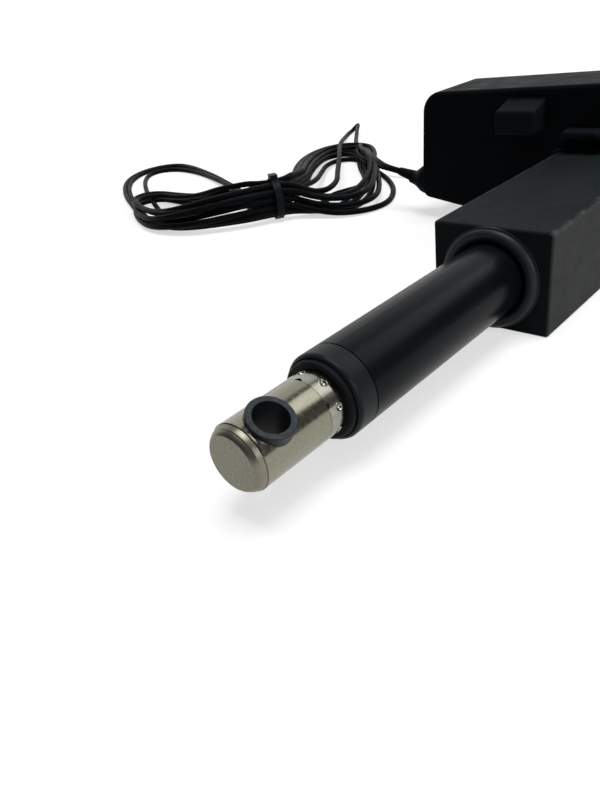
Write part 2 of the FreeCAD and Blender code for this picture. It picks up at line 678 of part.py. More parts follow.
def cord_boot():
    """Moulded strain relief: a fat dome at the housing and a tail that lifts with the cord."""
    start = -93.0
    outline = [
        (0, 0), (0, BOOT_NECK), (6.7, BOOT_NECK), (6.7, 7.9), (9.6, 7.8), (11.4, 7.1),
        (13.0, 6.0), (14.8, 4.8), (16.5, 3.9), (18.2, 3.3), (20.0, 2.7), (20.4, 0),
    ]
    dome = turned(outline, Vector(BOOT_X, start, BOOT_Z), Y * -1)
    root = Vector(BOOT_X, start - 14.0, BOOT_Z)
    axis = BOOT_END.sub(root)
    tail = Part.makeCone(3.6, 2.2, axis.Length, root, axis)
    return fused([dome, tail])


LEAD = [
    tuple(BOOT_END), (70.6, -131.0, 3.8), (62.0, -143.0, 4.6), (49.0, -157.0, 3.6),
    (30.0, -174.0, 0.6), (9.0, -191.0, -3.4), (-14.0, -214.5, -7.5), (-36.0, -233.0, -9.5),
]
TAIL = [
    (-36.0, -240.0, -9.5), (-8.0, -214.0, -9.5), (6.0, -190.0, -12.0), (11.0, -164.0, -15.0),
    (8.0, -138.0, CORD_Z), (-4.0, -114.0, CORD_Z + 0.4), (-18.0, -93.0, FLOOR + 5.0),
    (-22.0, -72.0, FLOOR + PLUG_RADIUS),
]


def corded(points):
    """A cord's tube along its route."""
    route = [Vector(*p) for p in points]
    edges, radii = eased_path(route)
    path = Part.Wire(edges)
    circle = Part.Circle(route[0], route[1].sub(route[0]), CORD_RADIUS)
    solid = path.makePipeShell([Part.Wire(circle.toShape())], True, True)
    section = math.pi * CORD_RADIUS ** 2 * path.Length
    print("cord length %.0f, volume / section x length %.4f, radii %s"
          % (path.Length, solid.Volume / section, ["%.0f" % r for r in radii]))
    return solid


# the folded cord lies in two lobes either side of its tie, with one long fold at the far end
TIE_CENTRE = Vector(111.0, -185.5, FLOOR + WAIST_RADIUS + 0.8)
TIE_DIRECTION = Vector(0.839, -0.545, 0)
FRONT_LOBE = [
    (96, -214), (66, -262), (38, -318), (6, -384), (6, -410), (34, -417), (82, -396), (126, -338),
    (154, -298), (170, -256), (166, -220), (126, -182),
]
REAR_LOBE = [
    (112, -172), (104, -144), (84, -126), (52, -130), (16, -162), (-10, -204), (-62, -242),
    (-80, -268), (-54, -294), (-10, -284), (44, -246), (94, -204),
]
LONG_FOLD = [
    (-40, -228), (-86, -262), (-130, -290), (-146, -310), (-132, -328), (-108, -322), (-76, -292),
    (-40, -262),
]
NECK = [
    (68, -276), (90, -236), (90, -204), (60, -208), (24, -240), (14, -180), (58, -142), (96, -148),
    (106, -170), (126, -178), (154, -200), (170, -238), (160, -268), (112, -282),
]
FRONT_OPENING = [(90, -262), (72, -288), (56, -324), (47, -362), (60, -376), (86, -346), (96, -306)]
REAR_OPENING = [(44, -187), (22, -195), (4, -210), (-9, -225), (4, -231), (26, -218), (46, -204)]


def pad(outline, height):
    """A flat pad with a smooth closed outline."""
    edges = eased_path([Vector(x, y, FLOOR) for x, y in outline], closed=True)[0]
    return Part.Face(Part.Wire(edges)).extrude(Vector(0, 0, height))


def shoulders():
    """The bundle spreading and sinking from the tie into the lobes."""
    slope = Part.makeCone(118.0, 2.0, 23.5, Vector(TIE_CENTRE.x, TIE_CENTRE.y, FLOOR))
    return pad(NECK, 30).common(slope)


def round_the_tie(radius, length):
    """A round bar through the tie."""
    half = TIE_DIRECTION * (length / 2)
    return cylinder(radius, TIE_CENTRE.sub(half), TIE_CENTRE.add(half))


def cord_hank():
    front = pad(FRONT_LOBE, 6 * CORD_RADIUS).cut(pad(FRONT_OPENING, 20))
    rear = pad(REAR_LOBE, 8 * CORD_RADIUS).cut(pad(REAR_OPENING, 20))
    fold = pad(LONG_FOLD, 2.4 * CORD_RADIUS)
    whole = fused([front, rear, fold, shoulders(), round_the_tie(WAIST_RADIUS, 24.0)])
    groove = round_the_tie(30.0, 4.6).cut(round_the_tie(WAIST_RADIUS, 6.0))
    return whole.cut(groove)


def cord_tie():
    band = round_the_tie(WAIST_RADIUS + 0.8, 4.4).cut(round_the_tie(WAIST_RADIUS, 6.0))
    head = Part.makeBox(4.6, 6.5, 3.4, Vector(-2.3, -3.2, WAIST_RADIUS - 0.6))
    head.Placement = Placement(TIE_CENTRE, Rotation(X, TIE_DIRECTION)).multiply(head.Placement)
    head = head.cut(round_the_tie(WAIST_RADIUS + 0.4, 8.0))
    return fused([band, head])


def plug_axis():
    return Vector(*TAIL[-1]).sub(Vector(*TAIL[-2])).normalize()


def plug_body():
    """Moulded plug on the cord's free end."""
    outline = [
        (0, 0), (0, 2.7), (7, 3.4), (9, PLUG_RADIUS), (26, PLUG_RADIUS), (27.2, 4.4), (27.2, 0),
    ]
    return turned(outline, Vector(*TAIL[-1]), plug_axis())


def plug_pin():
    start = Vector(*TAIL[-1]).add(plug_axis() * 27.2)
    outline = [(0, 0), (0, 2.75), (9.6, 2.75), (10.6, 2.2), (10.6, 0)]
    return turned(outline, start, plug_axis())


# ---------------------------------------------------------------- write the pieces
NODES = {
    "rod_cap": rod_cap,
    "rod_eye_bush": rod_eye_bush,
    "rod_tube": rod_tube,
    "drive_nut": drive_nut,
    "lead_screw": screw,
    "screw_lock_nut": lock_nut,
    "screw_key": screw_key,
    "worm_wheel": worm_wheel,
    "magnet_ring": magnet_ring,
    "worm": worm,
    "motor_shaft": motor_shaft,
    "armature_core": armature_core,
    "armature_windings": armature_windings,
    "commutator": commutator,
    "motor_can": motor_can,
    "motor_front_bearing": motor_front_bearing,
    "motor_magnets": motor_magnets,
    "motor_end_cap": motor_end_cap,
    "motor_brushes": brushes,
    "worm_end_bush": worm_end_bush,
    "outer_tube": outer_tube,
    "guide_ring": guide_ring,
    "rod_wiper": rod_wiper,
    "front_collar": front_collar,
    "square_sleeve": square_sleeve,
    "bearing_plate": bearing_plate,
    "rear_bearing": lambda: bearing(REAR_BEARING_X),
    "front_bearing": lambda: bearing(FRONT_BEARING_X),
    "lower_shell": lower_shell,
    "upper_shell": upper_shell,
    "shell_screws": shell_screws,
    "rear_lug": rear_lug,
    "rear_bush": rear_bush,
    "position_board": position_board,
    "cord_boot": cord_boot,
    "cord_lead": lambda: corded(LEAD),
    "cord_hank": cord_hank,
    "cord_tie": cord_tie,
    "cord_tail": lambda: corded(TAIL),
    "plug_body": plug_body,
    "plug_pin": plug_pin,
}

os.makedirs("parts", exist_ok=True)
for name, make in NODES.items():
    shape = make()
    solids = len(shape.Solids)
    print("%-20s solids %d  valid %s  volume %.0f" % (name, solids, shape.isValid(), shape.Volume))
    shape.exportStep("parts/%s.step" % name)
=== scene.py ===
"""Studio model of an electric linear actuator with its long folded cord.

The frame brings the solid pieces. This script lays the cord, adds the rims round the rod's punched
dimples, gives every piece its finish, and sets the floor, the lamps and the camera.
Metres. X runs along the rod towards its eye, and Z points up from the flat underside.
"""

import math

import bpy
from bpy.props import FloatProperty, FloatVectorProperty, IntProperty, PointerProperty
from mathutils import Matrix, Vector


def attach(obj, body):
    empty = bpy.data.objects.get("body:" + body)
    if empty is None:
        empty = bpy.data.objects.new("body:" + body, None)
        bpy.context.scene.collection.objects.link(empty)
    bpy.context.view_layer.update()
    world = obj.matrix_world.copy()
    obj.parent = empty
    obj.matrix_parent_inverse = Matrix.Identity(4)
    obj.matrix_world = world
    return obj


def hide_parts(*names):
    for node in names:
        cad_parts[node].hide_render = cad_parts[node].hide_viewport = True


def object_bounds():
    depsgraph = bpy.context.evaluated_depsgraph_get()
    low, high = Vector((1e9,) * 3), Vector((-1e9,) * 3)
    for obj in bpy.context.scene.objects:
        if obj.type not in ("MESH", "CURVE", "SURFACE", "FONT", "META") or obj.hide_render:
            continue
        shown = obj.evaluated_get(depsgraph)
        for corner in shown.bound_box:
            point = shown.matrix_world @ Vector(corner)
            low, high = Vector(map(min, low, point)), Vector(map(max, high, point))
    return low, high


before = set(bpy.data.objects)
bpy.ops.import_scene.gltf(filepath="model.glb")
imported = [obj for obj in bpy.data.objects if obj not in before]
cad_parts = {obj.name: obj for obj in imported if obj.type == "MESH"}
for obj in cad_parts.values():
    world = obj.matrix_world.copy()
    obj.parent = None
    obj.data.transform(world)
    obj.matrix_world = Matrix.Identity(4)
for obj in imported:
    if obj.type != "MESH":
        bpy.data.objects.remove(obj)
CAD_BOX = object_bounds()

bl_info = {
    "name": "Linear Actuator Studio",
    "version": (1, 0, 0),
    "blender": (4, 5, 0),
    "location": "3D View > Sidebar > Actuator",
    "description": "Makes the cord, the small rims, the finishes and the studio of a linear actuator",
    "category": "Object",
}

# ---------------------------------------------------------------- places on the solid pieces
FLOOR_Z = CAD_BOX[0].z
ROD_RADIUS = 0.010
EYE_X = 0.312
EYE_TILT = math.radians(30.0)
EYE_AXIS = Vector((0.0, math.sin(EYE_TILT), math.cos(EYE_TILT)))
BUSH_RIM = 0.01095         # from the rod's axis to the rims of the eye's bush
CAP_LINE_X = 0.3199        # fine turned line where the cap's round edge begins
CAP_FACE_X = 0.32269       # where that edge ends at the cap's flat face
TURNED_PITCH = 0.00055     # from one tool ring to the next on the cap's edge
SEAM_X = 0.2955            # joint between the rod's cap and its tube
STAKES_X = 0.2915          # row of punched dimples round the rod
STAKE_SINK = 0.00012       # how deep the rims of those dimples sit in the rod
HOUSING_FRONT_X = 0.082    # flat front of the housing, behind its raised block and brows
SLEEVE_HALF_WIDTH = 0.0229
SLEEVE_HALF_HEIGHT = 0.0192
SCREW_LEAD = 0.005


# ---------------------------------------------------------------- sizes and colours a user may change
def colour(name, description, default):
    """A colour setting."""
    return FloatVectorProperty(
        name=name, description=description, default=default, size=3, min=0.0, max=1.0, subtype="COLOR",
    )


def length(name, description, default, highest):
    """A setting in metres."""
    return FloatProperty(
        name=name, description=description, default=default, min=0.0, max=highest, precision=5,
        unit="LENGTH", subtype="DISTANCE",
    )


def power(name, description, default):
    """A lamp's power in watts."""
    return FloatProperty(
        name=name, description=description, default=default, min=0.0, max=500.0, unit="POWER",
    )


class ActuatorColours(bpy.types.PropertyGroup):
    """Colours of the pieces that show."""

    cap: colour("Rod cap", "Turned steel cap at the rod's end", (0.226, 0.222, 0.171))
    rod: colour("Rod tube", "Bright drawn tube of the rod", (0.31, 0.305, 0.265))
    bush: colour("Eye bush", "Plastic bush in the rod's eye", (0.026, 0.033, 0.040))
    ring: colour("Guide ring", "Plastic ring at the front of the outer tube", (0.0065, 0.0090, 0.0110))
    tube: colour("Outer tube", "Black coat of the round outer tube", (0.0030, 0.0040, 0.0052))
    sleeve: colour("Square sleeve", "Moulded square sleeve", (0.0100, 0.0125, 0.0142))
    housing: colour("Motor housing", "Moulded housing of the motor and gears", (0.0034, 0.0043, 0.0055))
    cord: colour("Cord", "Sheath of the cord", (0.0030, 0.0037, 0.0048))


class ActuatorSizes(bpy.types.PropertyGroup):
    """Sizes of the cord and the small details."""

    cord_diameter: length("Cord diameter", "Outer diameter of the cord's sheath", 0.0035, 0.02)
    rim_radius: length("Stake rim", "Radius of the raised rim round each punched dimple", 0.00122, 0.01)
    rim_thickness: length("Rim thickness", "Thickness of that raised rim", 0.00036, 0.005)
    rim_count: IntProperty(
        name="Stakes", description="Number of dimples round the rod", default=8, min=1, max=48,
    )


class ActuatorStudio(bpy.types.PropertyGroup):
    """Floor, light and lens."""

    floor_colour: colour("Floor", "Colour of the floor and its backdrop", (0.42, 0.42, 0.42))
    top_power: power("Top lamp", "Power of the soft lamp overhead", 25.0)
    back_power: power("Back lamp", "Power of the soft lamp behind the rod", 5.0)
    side_power: power("Side lamp", "Power of the soft lamp beside the sleeve", 9.0)
    world_level: FloatProperty(
        name="Room light", description="Strength of the even light of the room", default=0.12,
        min=0.0, max=5.0,
    )
    lens: FloatProperty(
        name="Lens", description="Focal length of the camera", default=0.03037, min=0.001, max=1.0,
        precision=5, unit="CAMERA",
    )


# ---------------------------------------------------------------- shader nodes
FINISH_MARK = "_finish"    # keeps these finishes apart from the frame's own plain materials


class Finish:
    """One finish: a shader whose colour, roughness and relief follow patterns in the piece's space."""

    def __init__(self, name, metallic=0.0, specular=0.5):
        self.material = bpy.data.materials.new(name + FINISH_MARK)
        self.material.use_nodes = True
        self.tree = self.material.node_tree
        self.shader = self.tree.nodes["Principled BSDF"]
        self.shader.inputs["Metallic"].default_value = metallic
        self.shader.inputs["Specular IOR Level"].default_value = specular
        self.place = self.add("ShaderNodeTexCoord").outputs["Object"]

    def add(self, kind, **settings):
        node = self.tree.nodes.new(kind)
        for key, value in settings.items():
            setattr(node, key, value)
        return node

    def put(self, socket, value):
        """Links an output to a socket, or writes a number or colour on it."""
        if isinstance(value, bpy.types.NodeSocket):
            self.tree.links.new(value, socket)
        elif hasattr(value, "__len__") and len(value) == 3 and socket.type == "RGBA":
            socket.default_value = (*value, 1.0)
        else:
            socket.default_value = value

    def stretched(self, scale, turn=(0.0, 0.0, 0.0), shift=(0.0, 0.0, 0.0)):
        """The piece's space, scaled, turned and moved, for a pattern that runs one way."""
        node = self.add("ShaderNodeMapping")
        self.put(node.inputs["Vector"], self.place)
        node.inputs["Scale"].default_value = scale
        node.inputs["Rotation"].default_value = turn
        node.inputs["Location"].default_value = shift
        return node.outputs["Vector"]

    def noise(self, scale, detail=3.0, roughness=0.55, place=None):
        """Cloudy pattern between 0 and 1."""
        node = self.add("ShaderNodeTexNoise")
        self.put(node.inputs["Vector"], place or self.place)
        node.inputs["Scale"].default_value = scale
        node.inputs["Detail"].default_value = detail
        node.inputs["Roughness"].default_value = roughness
        return node.outputs["Fac"]

    def cells(self, scale):
        """Distance to the nearest of many scattered points."""
        node = self.add("ShaderNodeTexVoronoi")
        self.put(node.inputs["Vector"], self.place)
        node.inputs["Scale"].default_value = scale
        return node.outputs["Distance"]

    def axes(self):
        """The three coordinates of the piece's space."""
        node = self.add("ShaderNodeSeparateXYZ")
        self.put(node.inputs["Vector"], self.place)
        return node.outputs

    def maths(self, operation, first, second=0.0):
        """One sum, product or other operation on numbers or outputs."""
        node = self.add("ShaderNodeMath", operation=operation)
        self.put(node.inputs[0], first)
        self.put(node.inputs[1], second)
        return node.outputs[0]

    def from_middle(self, value, middle=0.0):
        """How far a value is from a middle, either way."""
        return self.maths("ABSOLUTE", self.maths("SUBTRACT", value, middle))

    def levels(self, value, low, high, to_low=0.0, to_high=1.0):
        """Takes the range from low to high to another one, and holds it there outside."""
        node = self.add("ShaderNodeMapRange")
        for key, number in (
            ("Value", value), ("From Min", low), ("From Max", high), ("To Min", to_low), ("To Max", to_high)
        ):
            self.put(node.inputs[key], number)
        return node.outputs["Result"]

    def mixed(self, share, first, second):
        """The first colour at a share of 0 and the second one at a share of 1."""
        node = self.add("ShaderNodeMix", data_type="RGBA")
        colours = [socket for socket in node.inputs if socket.type == "RGBA"]
        self.put(node.inputs[0], share)
        self.put(colours[0], first)
        self.put(colours[1], second)
        return next(socket for socket in node.outputs if socket.type == "RGBA")

    def relief(self, height, distance, strength=1.0, under=None):
        """A surface normal that follows a height, on top of another one if given."""
        node = self.add("ShaderNodeBump")
        node.inputs["Strength"].default_value = strength
        node.inputs["Distance"].default_value = distance
        self.put(node.inputs["Height"], height)
        if under:
            self.put(node.inputs["Normal"], under)
        return node.outputs["Normal"]

    def finished(self, base, roughness, normal=None):
        """Links the shader's inputs and hands on the material."""
        self.put(self.shader.inputs["Base Color"], base)
        self.put(self.shader.inputs["Roughness"], roughness)
        if normal:
            self.put(self.shader.inputs["Normal"], normal)
        return self.material


def shade(tone, factor):
    """A colour made lighter or darker."""
    return tuple(min(1.0, c * factor) for c in tone)


def moulded(name, tone, roughness=0.45, grain=2600.0, depth=0.00004, specular=0.5, wear=0.25):
    """Moulded plastic: fine even grain, faint clouds of dust and handling."""
    f = Finish(name, specular=specular)
    clouds = f.noise(28.0, 4.0, 0.6)
    grain_height = f.noise(grain, 2.0, 0.6)
    base = f.mixed(f.levels(clouds, 0.35, 0.70), shade(tone, 1.0 - wear), shade(tone, 1.0 + wear))
    rough = f.levels(f.noise(90.0, 4.0, 0.65), 0.3, 0.7, roughness - 0.06, roughness + 0.08)
    return f.finished(base, rough, f.relief(grain_height, depth, 0.5))


def metal(name, tone, roughness=0.3, stretch=(1.0, 1.0, 1.0), depth=0.00001):
    """Drawn, ground or plated metal with fine lines along one way."""
    f = Finish(name, metallic=1.0)
    lines = f.noise(900.0, 3.0, 0.6, f.stretched(stretch))
    base = f.mixed(f.levels(f.noise(120.0, 4.0, 0.6), 0.35, 0.65), shade(tone, 0.86), shade(tone, 1.1))
    rough = f.levels(lines, 0.3, 0.7, roughness - 0.06, roughness + 0.10)
    return f.finished(base, rough, f.relief(lines, depth, 0.6))


def cap_finish(tone):
    """Turned steel: mottled satin sides, tool rings on the round edge and a blasted flat face."""
    f = Finish("cap_steel", metallic=1.0)
    x = f.axes()[0]
    mottle = f.noise(1100.0, 4.0, 0.65)
    stains = f.noise(95.0, 3.0, 0.6)
    side = f.mixed(f.levels(mottle, 0.36, 0.66), shade(tone, 0.88), shade(tone, 1.12))
    side = f.mixed(f.levels(stains, 0.52, 0.75, 0.0, 0.35), side, (0.20, 0.185, 0.130))
    edge = f.levels(x, CAP_LINE_X - 0.0003, CAP_LINE_X + 0.0002)
    turned_edge = f.mixed(f.levels(f.noise(60.0, 2.0), 0.4, 0.6), (0.17, 0.16, 0.125), (0.24, 0.23, 0.18))
    base = f.mixed(edge, side, turned_edge)
    face = f.levels(x, CAP_FACE_X - 0.00007, CAP_FACE_X + 0.00007)
    blasted = f.mixed(f.levels(mottle, 0.3, 0.7), shade(tone, 0.55), shade(tone, 0.92))
    base = f.mixed(face, base, blasted)
    line = f.levels(f.from_middle(x, CAP_LINE_X), 0.00008, 0.00022, 0.7, 0.0)
    base = f.mixed(line, base, (0.05, 0.045, 0.04))
    rings = f.maths("SINE", f.maths("MULTIPLY", x, 2.0 * math.pi / TURNED_PITCH))
    rings = f.maths("MULTIPLY", rings, f.maths("SUBTRACT", edge, face))
    rough = f.levels(f.maths("ADD", mottle, f.maths("MULTIPLY", edge, 0.6)), 0.3, 1.1, 0.13, 0.38)
    normal = f.relief(mottle, 0.000018, 0.40)
    normal = f.relief(rings, 0.00002, 0.4, normal)
    return f.finished(base, rough, normal)


def rod_finish(tone):
    """Bright drawn tube with fine lines along it, faint stains and a dull end at the cap."""
    f = Finish("rod_chrome", metallic=1.0)
    lines = f.noise(1400.0, 3.0, 0.6, f.stretched((0.06, 1.0, 1.0)))
    stains = f.noise(160.0, 4.0, 0.7)
    base = f.mixed(f.levels(stains, 0.45, 0.70), shade(tone, 0.82), shade(tone, 1.12))
    near_seam = f.levels(f.axes()[0], SEAM_X - 0.0006, SEAM_X - 0.0002)
    base = f.mixed(near_seam, base, (0.14, 0.13, 0.11))
    rough = f.levels(lines, 0.3, 0.7, 0.14, 0.26)
    return f.finished(base, rough, f.relief(lines, 0.000012, 0.5))


def bush_finish(tone):
    """Moulded bush of the rod's eye, whose cut rims are paler and rougher than its side, which is painted
    dark as painted shade in the eye's bore.
    """
    f = Finish("bush_plastic", specular=0.20)
    along = f.add("ShaderNodeVectorMath", operation="DOT_PRODUCT")
    f.put(along.inputs[0], f.stretched((1.0, 1.0, 1.0), shift=(-EYE_X, 0.0, 0.0)))
    along.inputs[1].default_value = EYE_AXIS
    rim = f.levels(f.from_middle(along.outputs["Value"]), BUSH_RIM - 0.0001, BUSH_RIM + 0.0001)
    scratch = f.noise(900.0, 4.0, 0.7)
    # painted shade: the side, the bore included, gets only a fifth to two fifths of the bush's colour, for
    # the shade inside the eye
    side = f.mixed(f.noise(200.0, 3.0), shade(tone, 0.20), shade(tone, 0.40))
    cut = f.mixed(f.levels(scratch, 0.42, 0.72), shade(tone, 0.5), shade(tone, 1.35))
    base = f.mixed(rim, side, cut)
    rough = f.levels(rim, 0.0, 1.0, 0.38, 0.55)
    return f.finished(base, rough, f.relief(scratch, 0.00006, 0.4))


def tube_finish(tone):
    """Glossy black coat on the outer tube, with thin scratches along it and specks of dust."""
    f = Finish("tube_black", specular=0.055)
    clouds = f.noise(45.0, 3.0, 0.6, f.stretched((0.25, 1.0, 1.0)))
    specks = f.levels(f.cells(520.0), 0.05, 0.085, 1.0, 0.0)
    sparse = f.levels(f.noise(75.0, 2.0), 0.60, 0.66)
    slanted = f.stretched((0.035, 1.0, 1.0), (0.0, 0.12, 0.1))
    scratches = f.levels(f.noise(260.0, 2.0, 0.5, slanted), 0.735, 0.76)
    base = f.mixed(f.levels(clouds, 0.35, 0.7), shade(tone, 0.8), shade(tone, 1.25))
    base = f.mixed(f.maths("MULTIPLY", specks, sparse), base, (0.10, 0.11, 0.12))
    base = f.mixed(scratches, base, (0.07, 0.075, 0.08))
    rough = f.levels(clouds, 0.3, 0.7, 0.22, 0.30)
    return f.finished(base, rough, f.relief(f.noise(1500.0, 2.0), 0.000012, 0.4))


def housing_finish(tone):
    """Moulded housing whose raised block and brows are painted paler than its flat front, as painted light
    on their faces.
    """
    f = Finish("housing_plastic", specular=0.012)
    clouds = f.noise(28.0, 4.0, 0.6)
    base = f.mixed(f.levels(clouds, 0.35, 0.70), shade(tone, 0.75), shade(tone, 1.25))
    # painted light: the raised block and brows get twice the housing's colour, for the light that falls on
    # their faces
    raised_painted_light = f.levels(f.axes()[0], HOUSING_FRONT_X + 0.0008, HOUSING_FRONT_X + 0.0030)
    base = f.mixed(raised_painted_light, base, shade(tone, 2.0))
    rough = f.levels(f.noise(90.0, 4.0, 0.65), 0.3, 0.7, 0.40, 0.54)
    return f.finished(base, rough, f.relief(f.noise(2200.0, 2.0, 0.6), 0.00004, 0.5))


def sleeve_finish(tone):
    """Satin sleeve whose side faces are painted paler as painted light, and which is rubbed paler along its
    long edges.
    """
    f = Finish("sleeve_plastic", specular=0.02)
    _, y, z = f.axes()
    clouds = f.noise(34.0, 4.0, 0.65, f.stretched((0.5, 1.0, 1.0)))
    across, up = f.from_middle(y), f.from_middle(z)
    to_side = f.levels(across, SLEEVE_HALF_WIDTH - 0.0021, SLEEVE_HALF_WIDTH)
    to_top = f.levels(up, SLEEVE_HALF_HEIGHT - 0.0020, SLEEVE_HALF_HEIGHT)
    ridge = f.maths("MULTIPLY", to_side, to_top)
    rubbed = f.maths("MULTIPLY", ridge, f.levels(f.noise(230.0, 5.0, 0.75), 0.46, 0.68))
    slanted = f.stretched((0.22, 1.0, 1.0), (0.0, 0.2, 0.3))
    marks = f.levels(f.noise(120.0, 5.0, 0.75, slanted), 0.66, 0.74, 0.0, 0.5)
    base = f.mixed(f.levels(clouds, 0.35, 0.7), shade(tone, 0.82), shade(tone, 1.22))
    # painted light: the side faces are painted a paler grey for the light that falls on them from the side
    side = f.levels(across, SLEEVE_HALF_WIDTH - 0.0008, SLEEVE_HALF_WIDTH - 0.0001)
    painted_light_on_sides = f.maths("MULTIPLY", side, f.levels(clouds, 0.25, 0.75, 0.55, 1.0))
    base = f.mixed(painted_light_on_sides, base, (0.046, 0.047, 0.047))
    base = f.mixed(f.maths("MAXIMUM", rubbed, marks), base, (0.085, 0.088, 0.090))
    rough = f.levels(f.noise(150.0, 4.0, 0.65), 0.3, 0.7, 0.48, 0.60)
    return f.finished(base, rough, f.relief(f.noise(2400.0, 2.0, 0.6), 0.00005, 0.5))


def screw_finish(tone):
    """Rolled screw thread: bright crests and dark roots that wind round the axis."""
    f = Finish("screw_steel", metallic=1.0)
    x, y, z = f.axes()
    turn = f.maths("DIVIDE", f.maths("ARCTAN2", z, y), 2.0 * math.pi)
    wound = f.maths("FRACT", f.maths("ADD", f.maths("DIVIDE", x, SCREW_LEAD), turn))
    ridge = f.maths("PINGPONG", wound, 0.5)
    base = f.mixed(f.levels(ridge, 0.05, 0.32), shade(tone, 0.45), shade(tone, 1.1))
    rough = f.levels(f.noise(700.0, 3.0), 0.3, 0.7, 0.24, 0.38)
    return f.finished(base, rough, f.relief(ridge, 0.0008, 0.8))


# ---------------------------------------------------------------- geometry nodes
class Pattern:
    """One geometry tree, with named inputs for its sizes and its finish."""

    def __init__(self, name, inputs):
        self.tree = bpy.data.node_groups.new(name, "GeometryNodeTree")
        face = self.tree.interface
        for label, kind in inputs:
            face.new_socket(label, in_out="INPUT", socket_type=kind)
        face.new_socket("Geometry", in_out="OUTPUT", socket_type="NodeSocketGeometry")
        self.given = self.add("NodeGroupInput")
        self.result = self.add("NodeGroupOutput")

    def add(self, kind, **settings):
        node = self.tree.nodes.new(kind)
        for key, value in settings.items():
            setattr(node, key, value)
        return node

    def join(self, source, target):
        """Links an output to an input."""
        self.tree.links.new(source, target)

    def end(self, geometry):
        """Realizes the instances, gives them their finish and hands them on."""
        real = self.add("GeometryNodeRealizeInstances")
        paint = self.add("GeometryNodeSetMaterial")
        self.join(geometry, real.inputs["Geometry"])
        self.join(real.outputs["Geometry"], paint.inputs["Geometry"])
        self.join(self.given.outputs["Finish"], paint.inputs["Material"])
        self.join(paint.outputs["Geometry"], self.result.inputs["Geometry"])
        return self.tree


def made_from(tree, name, values):
    """A plain mesh object from a geometry tree with these input values."""
    piece = bpy.data.objects.new(name, bpy.data.meshes.new(name))
    bpy.context.scene.collection.objects.link(piece)
    modifier = piece.modifiers.new(name, "NODES")
    modifier.node_group = tree
    for socket in tree.interface.items_tree:
        if socket.in_out == "INPUT":
            modifier[socket.identifier] = values[socket.name]
    ready = piece.evaluated_get(bpy.context.evaluated_depsgraph_get())
    mesh = bpy.data.meshes.new_from_object(ready)
    if not len(mesh.polygons):
        raise RuntimeError(f"{name} came out empty")
    piece.modifiers.clear()
    piece.data = mesh
    mesh.name = name
    if not mesh.materials:
        mesh.materials.append(values["Finish"])
    return piece


def circle_of_instances(p, instance):
    """Instances on a circle round X, each with its Z axis pointing out."""
    circle = p.add("GeometryNodeMeshCircle", fill_type="NONE")
    p.join(p.given.outputs["Count"], circle.inputs["Vertices"])
    p.join(p.given.outputs["Rod Radius"], circle.inputs["Radius"])
    stood = p.add("GeometryNodeTransform")
    stood.inputs["Rotation"].default_value = (0.0, math.radians(90.0), 0.0)
    p.join(circle.outputs["Mesh"], stood.inputs["Geometry"])
    outward = p.add("GeometryNodeInputPosition")
    facing = p.add("FunctionNodeAlignRotationToVector", axis="Z")
    p.join(outward.outputs["Position"], facing.inputs["Vector"])
    placed = p.add("GeometryNodeInstanceOnPoints")
    p.join(stood.outputs["Geometry"], placed.inputs["Points"])
    p.join(instance, placed.inputs["Instance"])
    p.join(facing.outputs["Rotation"], placed.inputs["Rotation"])
    moved = p.add("GeometryNodeTransform")
    p.join(placed.outputs["Instances"], moved.inputs["Geometry"])
    p.join(p.given.outputs["Shift"], moved.inputs["Translation"])
    p.join(p.given.outputs["Turn"], moved.inputs["Rotation"])
    return moved.outputs["Geometry"]


def stake_rims_tree():
    """Round rims, each a thin bead bent into a circle, set in a row round the rod."""
    p = Pattern("Rims round a rod", [
        ("Count", "NodeSocketInt"), ("Rod Radius", "NodeSocketFloat"), ("Rim Radius", "NodeSocketFloat"),
        ("Thickness", "NodeSocketFloat"), ("Shift", "NodeSocketVector"), ("Turn", "NodeSocketVector"),
        ("Finish", "NodeSocketMaterial"),
    ])
    rim = p.add("GeometryNodeCurvePrimitiveCircle")
    rim.inputs["Resolution"].default_value = 32
    p.join(p.given.outputs["Rim Radius"], rim.inputs["Radius"])
    bead = p.add("GeometryNodeCurvePrimitiveCircle")
    bead.inputs["Resolution"].default_value = 10
    half = p.add("ShaderNodeMath", operation="MULTIPLY")
    half.inputs[1].default_value = 0.5
    p.join(p.given.outputs["Thickness"], half.inputs[0])
    p.join(half.outputs[0], bead.inputs["Radius"])
    ring = p.add("GeometryNodeCurveToMesh")
    p.join(rim.outputs["Curve"], ring.inputs["Curve"])
    p.join(bead.outputs["Curve"], ring.inputs["Profile Curve"])
    smooth = p.add("GeometryNodeSetShadeSmooth")
    p.join(ring.outputs["Mesh"], smooth.inputs["Geometry"])
    return p.end(circle_of_instances(p, smooth.outputs["Geometry"]))


